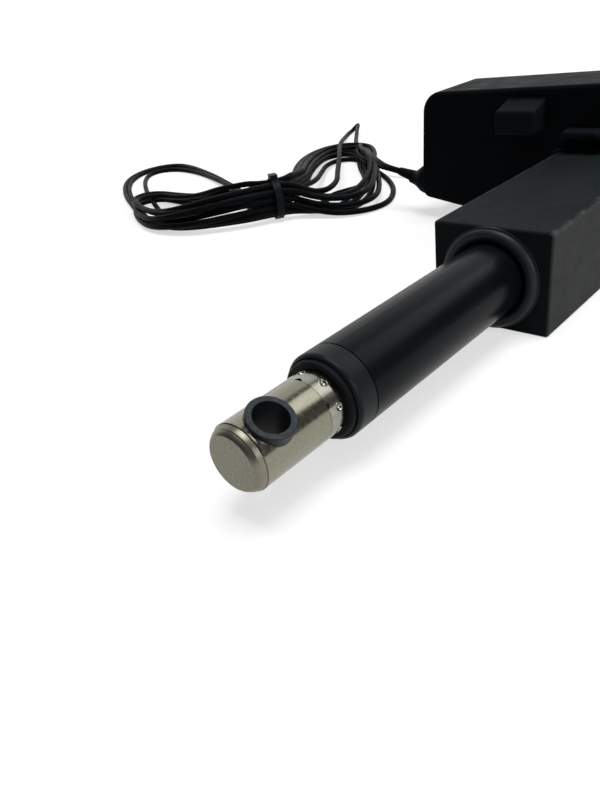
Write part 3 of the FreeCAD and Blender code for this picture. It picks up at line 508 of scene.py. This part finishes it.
# ---------------------------------------------------------------- the cord's route
# Points that the cord's smooth line is drawn towards. It leaves the boot, runs to the far end of the
# rear lobe, goes round both lobes in nine turns that are tied between them, makes one long fold over
# the rear lobe and ends at its plug.
LEAD = (
    (0.072, -0.1205, 0.0026), (0.0706, -0.131, 0.0038), (0.062, -0.143, 0.0046), (0.049, -0.157, 0.0036),
    (0.03, -0.174, 0.0006), (0.009, -0.191, -0.0034), (-0.014, -0.2145, -0.0075), (-0.036, -0.233, -0.0095),
)
TAIL = (
    (-0.028, -0.23, -0.0115), (-0.009, -0.213, -0.0115), (0.005, -0.191, -0.0125), (0.011, -0.164, -0.015),
    (0.008, -0.138, -0.0175), (-0.004, -0.114, -0.0172), (-0.018, -0.093, -0.0143),
    (-0.022, -0.072, -0.0141),
)
LONG_FOLD = (
    (0.1, -0.164, -0.0056), (0.091, -0.162, -0.0061), (0.079, -0.166, -0.0066), (0.065, -0.174, -0.0071),
    (0.05, -0.186, -0.007), (0.035, -0.197, -0.0065), (0.018, -0.21, -0.0065), (-0.001, -0.225, -0.007),
    (-0.021, -0.241, -0.008), (-0.045, -0.259, -0.0105), (-0.073, -0.279, -0.0145),
    (-0.093, -0.2925, -0.017), (-0.1105, -0.302, -0.0175), (-0.1165, -0.304, -0.0175),
    (-0.1198, -0.3023, -0.015), (-0.1192, -0.2979, -0.0119), (-0.113, -0.2935, -0.0123),
    (-0.102, -0.286, -0.0128), (-0.0895, -0.277, -0.0128), (-0.0765, -0.2675, -0.013),
    (-0.0615, -0.2565, -0.013), (-0.0455, -0.2435, -0.012),
)
# outlines of the rear lobe, from the near side of the tie round to its far side, seen from above
REAR_LOOP = (
    (0.103, -0.161), (0.099, -0.146), (0.087, -0.135), (0.069, -0.132), (0.047, -0.143), (0.028, -0.159),
    (0.011, -0.179), (-0.005, -0.201), (-0.03, -0.223), (-0.056, -0.246), (-0.064, -0.27), (-0.044, -0.28),
    (-0.016, -0.272), (0.014, -0.256), (0.042, -0.234),
)
REAR_OUTER = (
    (0.102, -0.162), (0.098, -0.148), (0.087, -0.137), (0.069, -0.138), (0.05, -0.15), (0.029, -0.167),
    (0.006, -0.186), (-0.019, -0.207), (-0.045, -0.229), (-0.064, -0.25), (-0.066, -0.272),
    (-0.046, -0.284), (-0.017, -0.277), (0.013, -0.26), (0.042, -0.236),
)
REAR_INNER = (
    (0.098, -0.165), (0.089, -0.16), (0.077, -0.162), (0.063, -0.169), (0.046, -0.174), (0.03, -0.18),
    (0.016, -0.192), (0.002, -0.206), (-0.014, -0.219), (-0.03, -0.232), (-0.034, -0.247), (-0.02, -0.255),
    (0.002, -0.246), (0.028, -0.231), (0.052, -0.214),
)
REAR_TEAR = (
    (0.098, -0.168), (0.088, -0.168), (0.077, -0.174), (0.066, -0.18), (0.056, -0.178), (0.044, -0.173),
    (0.03, -0.176), (0.015, -0.188), (0, -0.202), (-0.014, -0.215), (-0.024, -0.229), (-0.018, -0.241),
    (0, -0.24), (0.024, -0.226), (0.05, -0.21),
)
# outlines of the front lobe, from the far side of the tie round to its near side
WIDE_OUTER = (
    (0.091, -0.232), (0.074, -0.259), (0.06, -0.287), (0.047, -0.314), (0.036, -0.341), (0.027, -0.366),
    (0.023, -0.387), (0.031, -0.401), (0.046, -0.406), (0.064, -0.401), (0.082, -0.387), (0.098, -0.367),
    (0.114, -0.342), (0.129, -0.313), (0.145, -0.283), (0.157, -0.252), (0.158, -0.225),
)
WIDE_INNER = (
    (0.097, -0.234), (0.08, -0.256), (0.065, -0.281), (0.053, -0.308), (0.043, -0.334), (0.037, -0.358),
    (0.036, -0.378), (0.044, -0.391), (0.058, -0.388), (0.073, -0.373), (0.087, -0.354), (0.1, -0.334),
    (0.112, -0.313), (0.125, -0.291), (0.138, -0.268), (0.147, -0.245), (0.149, -0.221),
)
SLIM_OUTER = (
    (0.11, -0.23), (0.106, -0.246), (0.103, -0.263), (0.102, -0.28), (0.102, -0.296), (0.102, -0.308),
    (0.107, -0.317), (0.117, -0.32), (0.128, -0.311), (0.141, -0.294), (0.152, -0.274), (0.16, -0.254),
    (0.162, -0.236), (0.156, -0.214),
)
SLIM_INNER = (
    (0.112, -0.23), (0.112, -0.248), (0.112, -0.265), (0.111, -0.281), (0.109, -0.294), (0.109, -0.304),
    (0.115, -0.313), (0.124, -0.313), (0.132, -0.303), (0.141, -0.289), (0.149, -0.271), (0.154, -0.253),
    (0.154, -0.236), (0.149, -0.216),
)
TOP_OUTER = (
    (0.119, -0.226), (0.118, -0.241), (0.117, -0.256), (0.116, -0.271), (0.115, -0.284), (0.115, -0.295),
    (0.12, -0.305), (0.13, -0.306), (0.138, -0.297), (0.145, -0.281), (0.151, -0.264), (0.155, -0.248),
    (0.156, -0.232), (0.151, -0.213),
)
TOP_INNER = (
    (0.121, -0.227), (0.122, -0.241), (0.122, -0.254), (0.122, -0.266), (0.121, -0.278), (0.121, -0.288),
    (0.126, -0.297), (0.135, -0.297), (0.142, -0.287), (0.147, -0.274), (0.151, -0.26), (0.153, -0.246),
    (0.152, -0.232), (0.147, -0.214),
)
CORD_RADIUS = 0.00175
CORD_BASE = FLOOR_Z + CORD_RADIUS     # height of a strand that lies on the floor
LEAST_BEND = 2.2 * 2 * CORD_RADIUS    # radius below which a bend is eased
LONG_FOLD_TIP = Vector((-0.1185, -0.3020, CORD_BASE))
KEPT_NEAR = 0.012                     # this near its tip the long fold is pinched, and isn't eased
EASING_ROUNDS = 20
EASING_SHARE = 0.2                    # how far a point moves in one round
FREE_ENDS = 4                         # points at each end that are never eased

TIE = Vector((0.111, -0.1855, 0.0))
TIE_ANGLE = math.radians(-33.0)
TIE_ALONG = Vector((math.cos(TIE_ANGLE), math.sin(TIE_ANGLE), 0.0))
TIE_ACROSS = Vector((-TIE_ALONG.y, TIE_ALONG.x, 0.0))
TIE_BEND = 0.0130                     # innermost bend beside the tie
TIE_BAND = 0.0018                     # room for the tie under the lowest strands
TIE_COLUMNS = (0.0072, 0.0026)        # outer and inner strands on each side of the tie's middle
ROW_RISE = 0.0044                     # from one row of strands to the next
OUTER_LIFT = 0.001                    # an outer strand lies this much above the inner one of its row
CORNER_LIFT = 0.0012                  # and the lowest ones this much more, over the tie's round corners
TOP_ROW = 4                           # the last turn lies alone on top of the others
TOP_COLUMN = 0.0044
TOP_SINK = 0.001
BESIDE_TIE = 0.008                    # from the tie's middle to the points just beside it
AFTER_TIE = 0.022                     # and to the next point towards the front lobe
AFTER_ASIDE = 0.001                   # which lies this much further across
APPROACH = 0.4                        # where a point goes between the tie's bend and the lobe
LEAD_JOINS = 9                        # point of the first rear outline at which the lead joins it
RISE_BY_TIE = (0.7, 0.38, 0.17, 0.06)    # share of the tie's height kept by the first points beside it
LEAN = Vector((0.616, 0.787, 0.0)) * 3.7    # how far a strand lies to the near side, for its height
REAR_LEANS_FROM = 0.35                # share of a rear outline from which the strand leans
REAR_LEAN_POINTS = 3.0                # points over which that lean grows
REAR_LEAN_LOST = 0.5                  # share of it lost where the strand rises to the tie
FRONT_LEANS_UNTIL = 0.55              # the same for a front outline, which leans from its start
FRONT_LEAN_POINTS = 2.0
FRONT_LEAN_LOST = 0.65

# one entry a turn: rear outlines and the share between them, front outlines and share, layer
TURNS = (
    (REAR_OUTER, REAR_INNER, 0.00, WIDE_OUTER, WIDE_INNER, 0.00, 0),
    (REAR_OUTER, REAR_INNER, 0.40, WIDE_OUTER, WIDE_INNER, 0.20, 0),
    (REAR_OUTER, REAR_INNER, 0.90, SLIM_OUTER, SLIM_INNER, 0.00, 0),
    (REAR_LOOP, REAR_LOOP, 0.00, SLIM_OUTER, SLIM_INNER, 0.50, 0),
    (REAR_OUTER, REAR_INNER, 0.65, WIDE_OUTER, WIDE_INNER, 1.00, 0),
    (REAR_TEAR, REAR_TEAR, 0.00, SLIM_OUTER, SLIM_INNER, 0.90, 0),
    (REAR_OUTER, REAR_INNER, 0.10, SLIM_OUTER, SLIM_INNER, 0.15, 1),
    (REAR_OUTER, REAR_INNER, 0.60, TOP_OUTER, TOP_INNER, 0.00, 2),
    (REAR_OUTER, REAR_INNER, 0.30, TOP_OUTER, TOP_INNER, 0.70, 2),
)


def between(first, second, share):
    """An outline that lies a share of the way from one outline to another."""
    return [Vector(p).lerp(Vector(q), share).to_3d() for p, q in zip(first, second)]


def tie_slot(turn, side):
    """Where a turn's strand passes the tie: how far across it, and its height."""
    inner, row = turn % 2, turn // 2
    across = TIE_COLUMNS[inner]
    z = FLOOR_Z + TIE_BAND + CORD_RADIUS + ROW_RISE * row + (0.0 if inner else OUTER_LIFT)
    if row == 0 and not inner:
        z += CORNER_LIFT
    if row == TOP_ROW:
        across = TOP_COLUMN
        z -= TOP_SINK
    return side * across, z


def by_tie(across, along, z):
    """A point beside the tie, in the tie's own directions."""
    point = TIE + TIE_ACROSS * across + TIE_ALONG * along
    return Vector((point.x, point.y, z))


def round_tie(across, z, side):
    """Three points of a far strand's bend beside the tie, towards the front (1) or the rear (-1)."""
    reach = TIE_COLUMNS[0] + TIE_BEND
    middle = TIE - TIE_ACROSS * reach
    start = math.atan2(TIE_ACROSS.y, TIE_ACROSS.x)
    bend = []
    for degrees in (12.0, 36.0, 60.0):
        angle = start - side * math.radians(degrees)
        radius = reach + across
        bend.append(Vector((middle.x + radius * math.cos(angle), middle.y + radius * math.sin(angle), z)))
    return bend


def beside_tie(step):
    """Share of the tie's height that a point keeps, so many steps from the tie."""
    return RISE_BY_TIE[step] if 0 <= step < len(RISE_BY_TIE) else 0.0


def ramp(value):
    """The value, held between 0 and 1."""
    return min(1.0, max(0.0, value))


def rear_half(outline, first, base, leaving, arriving):
    """Rear lobe points, from the near side of the tie down to the layer and up to its far side."""
    points, count = [], len(outline)
    for k in range(first, count):
        rising = beside_tie(count - 1 - k)
        height = base - CORD_BASE + (arriving - base) * rising
        z = CORD_BASE + height + (0.0 if leaving is None else (leaving - base) * beside_tie(k + 1))
        leaning = ramp((k - count * REAR_LEANS_FROM) / REAR_LEAN_POINTS)
        lean = LEAN * (leaning * height * (1.0 - REAR_LEAN_LOST * rising))
        points.append(Vector((outline[k].x + lean.x, outline[k].y + lean.y, z)))
    return points


def front_half(outline, base, leaving, arriving, leans):
    """Front lobe points, from the far side of the tie down to the layer and up to its near side."""
    points, count = [], len(outline)
    for k in range(count):
        falling = beside_tie(k)
        height = base - CORD_BASE + (leaving - base) * falling
        z = CORD_BASE + height + (arriving - base) * beside_tie(count - 1 - k)
        leaning = leans * ramp((count * FRONT_LEANS_UNTIL - k) / FRONT_LEAN_POINTS)
        lean = LEAN * (leaning * height * (1.0 - FRONT_LEAN_LOST * falling))
        points.append(Vector((outline[k].x + lean.x, outline[k].y + lean.y, z)))
    return points


def tightest(first, corner, last):
    """Radius of the cord's line at one of its points, between the middles of the runs beside it."""
    before, after = (corner - first) / 2.0, (last - corner) / 2.0
    turn = before.cross(after).length
    if turn < 1e-12:
        return 1.0
    middle = ((before + after) / 2.0).length
    return 2.0 * min(before.length, middle, after.length) ** 3 / turn


def bent_easily(points):
    """Moves the point of each bend that is too tight towards the middle of its neighbours."""
    for _ in range(EASING_ROUNDS):
        for i in range(FREE_ENDS, len(points) - FREE_ENDS):
            if (points[i] - LONG_FOLD_TIP).length < KEPT_NEAR:
                continue
            if tightest(points[i - 1], points[i], points[i + 1]) < LEAST_BEND:
                points[i] = points[i].lerp((points[i - 1] + points[i + 1]) / 2.0, EASING_SHARE)
    return points


def cord_route():
    """All the points of the cord's line, from the boot to the plug."""
    points = [Vector(p) for p in LEAD]
    across, height = 0.0, None
    for turn, (rear_a, rear_b, rear_share, front_a, front_b, front_share, layer) in enumerate(TURNS):
        base = CORD_BASE + 2 * CORD_RADIUS * layer
        rear = between(rear_a, rear_b, rear_share)
        front = between(front_a, front_b, front_share)
        far, far_z = tie_slot(turn, -1)
        near, near_z = tie_slot(turn, 1)
        if turn:
            points.append(by_tie(across, -BESIDE_TIE, height))
        points += rear_half(rear, 0 if turn else LEAD_JOINS, base, height, far_z)
        inward = round_tie(far, far_z, -1)
        points.append(inward[-1].lerp(points[-1], APPROACH))
        points.append(inward[-1].lerp(points[-1], APPROACH))
        points += inward[::-1]
        outward = round_tie(far, far_z, 1)
        points += outward
        onward = front_half(front, base, far_z, near_z, 0.0 if layer == 2 else 1.0)
        points.append(outward[-1].lerp(onward[0], APPROACH))
        points += onward
        points.append(by_tie(near + AFTER_ASIDE, AFTER_TIE, near_z))
        points.append(by_tie(near, BESIDE_TIE, near_z))
        across, height = near, near_z
    points.append(by_tie(across, -BESIDE_TIE, height))
    points += [Vector(p) for p in LONG_FOLD]
    points += [Vector(p) for p in TAIL]
    return bent_easily(points)


# ---------------------------------------------------------------- pieces
def finish_nodes(finish, *names):
    """Gives a finish to pieces of the frame."""
    for name in names:
        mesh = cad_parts[name].data
        mesh.materials.clear()
        mesh.materials.append(finish)


def finish_named(name):
    """A finish that an earlier step has made."""
    found = bpy.data.materials.get(name + FINISH_MARK)
    if found is None:
        raise RuntimeError(f"the finish {name} hasn't been made yet")
    return found


class ACTUATOR_OT_metal_finishes(bpy.types.Operator):
    """Give the rod, its cap, the rear lug and the metal pieces inside their finishes"""

    bl_idname = "actuator.metal_finishes"
    bl_label = "Metal Finishes"

    def execute(self, context):
        tones = context.scene.actuator_colours
        finish_nodes(cap_finish(tones.cap), "rod_cap")
        finish_nodes(rod_finish(tones.rod), "rod_tube")
        finish_nodes(screw_finish((0.50, 0.50, 0.49)), "lead_screw")
        fastener = metal("fastener_steel", (0.45, 0.45, 0.44), roughness=0.34)
        finish_nodes(fastener, "screw_lock_nut", "screw_key", "shell_screws")
        shaft = metal("shaft_steel", (0.56, 0.56, 0.55), roughness=0.2, stretch=(1.0, 0.05, 1.0))
        finish_nodes(shaft, "worm", "motor_shaft")
        laminations = metal(
            "lamination_steel", (0.30, 0.30, 0.31), roughness=0.45, stretch=(1.0, 8.0, 1.0), depth=0.0001,
        )
        finish_nodes(laminations, "armature_core")
        copper = metal(
            "winding_copper", (0.60, 0.26, 0.11), roughness=0.3, stretch=(1.0, 3.0, 1.0), depth=0.0002,
        )
        finish_nodes(copper, "armature_windings", "commutator")
        finish_nodes(metal("can_steel", (0.50, 0.51, 0.51), roughness=0.36), "motor_can")
        bearing = metal("bearing_steel", (0.60, 0.60, 0.59), roughness=0.18)
        finish_nodes(bearing, "motor_front_bearing", "rear_bearing", "front_bearing")
        finish_nodes(metal("bush_bronze", (0.52, 0.34, 0.15), roughness=0.45), "worm_end_bush")
        finish_nodes(metal("plate_aluminium", (0.58, 0.59, 0.60), roughness=0.42), "bearing_plate")
        finish_nodes(metal("lug_aluminium", (0.40, 0.41, 0.42), roughness=0.62), "rear_lug")
        finish_nodes(metal("pin_nickel", (0.66, 0.63, 0.56), roughness=0.16), "plug_pin")
        return {"FINISHED"}


class ACTUATOR_OT_plastic_finishes(bpy.types.Operator):
    """Give the moulded and coated pieces their finishes"""

    bl_idname = "actuator.plastic_finishes"
    bl_label = "Plastic Finishes"

    def execute(self, context):
        tones = context.scene.actuator_colours
        finish_nodes(tube_finish(tones.tube), "outer_tube")
        finish_nodes(sleeve_finish(tones.sleeve), "square_sleeve")
        finish_nodes(housing_finish(tones.housing), "lower_shell", "upper_shell")
        ring = moulded(
            "ring_plastic", tones.ring, roughness=0.38, grain=1800.0, depth=0.00002, specular=0.10,
        )
        finish_nodes(ring, "guide_ring")
        # painted light: the collar takes the sleeve's colour made 2.2 times paler, for the light that falls
        # on its front
        collar_painted_light_tone = shade(tones.sleeve, 2.2)
        collar = moulded(
            "collar_plastic", collar_painted_light_tone, roughness=0.36, grain=1800.0, depth=0.00003, specular=0.12,
        )
        finish_nodes(collar, "front_collar")
        finish_nodes(bush_finish(tones.bush), "rod_eye_bush")
        finish_nodes(moulded("rear_bush_plastic", tones.bush), "rear_bush")
        nut = moulded("nut_plastic", (0.80, 0.78, 0.72), roughness=0.5, grain=900.0, depth=0.00003)
        finish_nodes(nut, "drive_nut")
        gear = moulded("gear_plastic", (0.78, 0.76, 0.68), grain=900.0, depth=0.00003)
        finish_nodes(gear, "worm_wheel")
        ferrite = moulded(
            "magnet_ferrite", (0.075, 0.075, 0.080), roughness=0.62, grain=1600.0, depth=0.00012,
        )
        finish_nodes(ferrite, "magnet_ring", "motor_magnets")
        finish_nodes(moulded("inner_plastic", (0.045, 0.045, 0.05), roughness=0.5), "motor_end_cap")
        carbon = moulded("brush_carbon", (0.03, 0.03, 0.03), roughness=0.6, grain=1500.0, depth=0.0001)
        finish_nodes(carbon, "motor_brushes")
        board = moulded("board_laminate", (0.04, 0.18, 0.08), roughness=0.35, grain=800.0, depth=0.00002)
        finish_nodes(board, "position_board")
        return {"FINISHED"}


class ACTUATOR_OT_rubber_finishes(bpy.types.Operator):
    """Give the wiper, the boot, the tie and the plug their finishes, and make the cord's"""

    bl_idname = "actuator.rubber_finishes"
    bl_label = "Rubber Finishes"

    def execute(self, context):
        tones = context.scene.actuator_colours
        wiper = moulded(
            "wiper_rubber", (0.0032, 0.0042, 0.0050), roughness=0.5, grain=1500.0, specular=0.07,
        )
        finish_nodes(wiper, "rod_wiper")
        boot = moulded("boot_rubber", tones.cord, roughness=0.48, grain=1500.0, specular=0.03)
        finish_nodes(boot, "cord_boot")
        tie = moulded(
            "tie_plastic", (0.0042, 0.0050, 0.0062),
            roughness=0.42, grain=1500.0, depth=0.00003, specular=0.06,
        )
        finish_nodes(tie, "cord_tie")
        plug = moulded("plug_rubber", tones.cord, grain=1500.0, specular=0.10)
        finish_nodes(plug, "plug_body")
        moulded(
            "cord_sheath", tones.cord,
            roughness=0.46, grain=1700.0, depth=0.00003, specular=0.03, wear=0.3,
        )
        return {"FINISHED"}


class ACTUATOR_OT_lay_cord(bpy.types.Operator):
    """Lay the cord from its boot through the tied hank to the plug"""

    bl_idname = "actuator.lay_cord"
    bl_label = "Folded Cord"

    def execute(self, context):
        diameter = context.scene.actuator_sizes.cord_diameter
        points = cord_route()
        curve = bpy.data.curves.new("power_cord", "CURVE")
        curve.dimensions = "3D"
        curve.resolution_u = 6
        curve.bevel_depth = diameter / 2
        curve.bevel_resolution = 4
        curve.use_fill_caps = True
        line = curve.splines.new("NURBS")
        line.points.add(len(points) - 1)
        for point, (x, y, z) in zip(line.points, points):
            point.co = (x, y, z, 1.0)
        line.order_u = 3
        line.use_endpoint_u = True
        curve.materials.append(finish_named("cord_sheath"))
        cord = bpy.data.objects.new("power_cord", curve)
        context.scene.collection.objects.link(cord)
        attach(cord, "frame")
        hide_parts("cord_lead", "cord_hank", "cord_tail")
        return {"FINISHED"}


class ACTUATOR_OT_stake_rims(bpy.types.Operator):
    """Raise a rim round each punched dimple that holds the cap in the rod"""

    bl_idname = "actuator.stake_rims"
    bl_label = "Stake Rims"

    def execute(self, context):
        sizes = context.scene.actuator_sizes
        rims = made_from(stake_rims_tree(), "stake_rims", {
            "Count": sizes.rim_count,
            "Rod Radius": ROD_RADIUS - STAKE_SINK,
            "Rim Radius": sizes.rim_radius,
            "Thickness": sizes.rim_thickness,
            "Shift": (STAKES_X, 0.0, 0.0),
            "Turn": (math.pi / 2 - EYE_TILT, 0.0, 0.0),
            "Finish": finish_named("rod_chrome"),
        })
        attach(rims, "rod")
        return {"FINISHED"}


# ---------------------------------------------------------------- studio
CAMERA_YAW = 45.9    # degrees round Z from which the camera looks; the backdrop stands opposite


class ACTUATOR_OT_studio(bpy.types.Operator):
    """Set the floor, the lamps, the room light and the camera"""

    bl_idname = "actuator.studio"
    bl_label = "Studio"

    def execute(self, context):
        studio = context.scene.actuator_studio
        white_sweep(studio.floor_colour)
        soft_lamp("top_lamp", studio.top_power, azimuth=180.0, elevation=88.0, distance=1.7, size=1.0)
        soft_lamp("back_lamp", studio.back_power, azimuth=155.0, elevation=45.0, distance=1.5, size=0.85)
        soft_lamp("side_lamp", studio.side_power, azimuth=92.0, elevation=24.0, distance=1.5, size=0.6)
        room_light(studio.world_level)
        place_camera(studio.lens)
        context.scene.view_settings.view_transform = "Standard"
        return {"FINISHED"}


def paper_finish(tone):
    """White paper: it looks white and is mirrored white, and still keeps the object's shadow."""
    f = Finish("floor_paper", specular=0.0)
    ray = f.add("ShaderNodeLightPath")
    seen = f.maths("MAXIMUM", ray.outputs["Is Camera Ray"], ray.outputs["Is Glossy Ray"])
    seen = f.maths("MAXIMUM", seen, ray.outputs["Is Transmission Ray"])
    reach = f.add("ShaderNodeVectorMath", operation="LENGTH")
    f.put(reach.inputs[0], f.place)
    glow = f.levels(reach.outputs["Value"], 0.45, 1.5, 0.62, 1.0)
    f.put(f.shader.inputs["Emission Color"], (1.0, 1.0, 1.0))
    f.put(f.shader.inputs["Emission Strength"], f.maths("MULTIPLY", seen, glow))
    return f.finished(f.mixed(f.noise(3.0, 2.0), shade(tone, 0.995), tone), 1.0)


def white_sweep(tone):
    """A floor that curves up into a backdrop behind the actuator."""
    near, depth, half_width, bend, height = 2.5, 1.6, 3.5, 0.5, 3.0
    bend_steps = 12
    profile = [(-near, 0.0), (depth, 0.0)]
    for step in range(1, bend_steps + 1):
        angle = math.radians(90.0 * step / bend_steps)
        profile.append((depth + bend * math.sin(angle), bend * (1.0 - math.cos(angle))))
    profile.append((depth + bend, height))
    behind = math.radians(180.0 + CAMERA_YAW)
    back = Vector((math.cos(behind), math.sin(behind), 0.0))
    side = Vector((-back.y, back.x, 0.0))
    verts, faces = [], []
    for along, up in profile:
        for across in (-half_width, half_width):
            verts.append(back * along + side * across + Vector((0.0, 0.0, FLOOR_Z + up)))
    for i in range(len(profile) - 1):
        faces.append((2 * i, 2 * i + 2, 2 * i + 3, 2 * i + 1))
    mesh = bpy.data.meshes.new("studio_floor")
    mesh.from_pydata(verts, [], faces)
    mesh.update()
    for face in mesh.polygons:
        face.use_smooth = True
    mesh.materials.append(paper_finish(tone))
    floor = bpy.data.objects.new("studio_floor", mesh)
    bpy.context.scene.collection.objects.link(floor)


def soft_lamp(name, watts, azimuth, elevation, distance, size):
    """A square soft lamp that looks at the middle of the actuator, from angles in degrees."""
    round_z, above = math.radians(azimuth), math.radians(elevation)
    aim = Vector((0.2, 0.0, 0.0))
    level = math.cos(above)
    way = Vector((math.cos(round_z) * level, math.sin(round_z) * level, math.sin(above)))
    light = bpy.data.lights.new(name, "AREA")
    light.shape = "SQUARE"
    light.size = size
    light.energy = watts
    lamp = bpy.data.objects.new(name, light)
    lamp.location = aim + way * distance
    lamp.rotation_euler = way.to_track_quat("Z", "Y").to_euler()
    bpy.context.scene.collection.objects.link(lamp)
    return lamp


def room_light(level):
    """An even white light from all round."""
    world = bpy.data.worlds.new("room_light")
    world.use_nodes = True
    background = world.node_tree.nodes["Background"]
    background.inputs["Color"].default_value = (1.0, 1.0, 1.0, 1.0)
    background.inputs["Strength"].default_value = level
    bpy.context.scene.world = world


def place_camera(lens):
    """The camera stands close to the rod's end, above it, and leans a little."""
    eye = Vector((0.40471, 0.11213, 0.09712))
    yaw, pitch, roll = math.radians(CAMERA_YAW), math.radians(30.74), math.radians(8.58)
    ahead = Vector((-math.cos(yaw) * math.cos(pitch), -math.sin(yaw) * math.cos(pitch), -math.sin(pitch)))
    level = ahead.cross(Vector((0.0, 0.0, 1.0))).normalized()
    down = ahead.cross(level)
    right = math.cos(roll) * level + math.sin(roll) * down
    up = math.sin(roll) * level - math.cos(roll) * down
    turned = Matrix((right, up, -ahead)).transposed()
    data = bpy.data.cameras.new("studio_camera")
    data.lens = lens * 1000.0
    data.sensor_width = 36.0
    data.clip_start = 0.005
    camera = bpy.data.objects.new("studio_camera", data)
    camera.matrix_world = Matrix.Translation(eye) @ turned.to_4x4()
    bpy.context.scene.collection.objects.link(camera)
    bpy.context.scene.camera = camera


# ---------------------------------------------------------------- sidebar
STEPS = (
    "actuator.metal_finishes",
    "actuator.plastic_finishes",
    "actuator.rubber_finishes",
    "actuator.lay_cord",
    "actuator.stake_rims",
    "actuator.studio",
)


class ACTUATOR_PT_sidebar(bpy.types.Panel):
    """Lists the steps that make the actuator, and the sizes and colours they use"""

    bl_idname = "ACTUATOR_PT_sidebar"
    bl_label = "Linear Actuator"
    bl_space_type = "VIEW_3D"
    bl_region_type = "UI"
    bl_category = "Actuator"

    def draw(self, context):
        column = self.layout.column(align=True)
        for step in STEPS:
            column.operator(step)
        scene = context.scene
        for group in (scene.actuator_colours, scene.actuator_sizes, scene.actuator_studio):
            box = self.layout.box()
            for name in group.__annotations__:
                box.prop(group, name)


CLASSES = (
    ActuatorColours,
    ActuatorSizes,
    ActuatorStudio,
    ACTUATOR_OT_metal_finishes,
    ACTUATOR_OT_plastic_finishes,
    ACTUATOR_OT_rubber_finishes,
    ACTUATOR_OT_lay_cord,
    ACTUATOR_OT_stake_rims,
    ACTUATOR_OT_studio,
    ACTUATOR_PT_sidebar,
)


def register():
    for entry in CLASSES:
        bpy.utils.register_class(entry)
    bpy.types.Scene.actuator_colours = PointerProperty(type=ActuatorColours)
    bpy.types.Scene.actuator_sizes = PointerProperty(type=ActuatorSizes)
    bpy.types.Scene.actuator_studio = PointerProperty(type=ActuatorStudio)


def unregister():
    del bpy.types.Scene.actuator_studio
    del bpy.types.Scene.actuator_sizes
    del bpy.types.Scene.actuator_colours
    for entry in reversed(CLASSES):
        bpy.utils.unregister_class(entry)


def main():
    register()
    bpy.ops.actuator.metal_finishes()
    bpy.ops.actuator.plastic_finishes()
    bpy.ops.actuator.rubber_finishes()
    bpy.ops.actuator.lay_cord()
    bpy.ops.actuator.stake_rims()
    bpy.ops.actuator.studio()


if __name__ == "__main__":
    main()
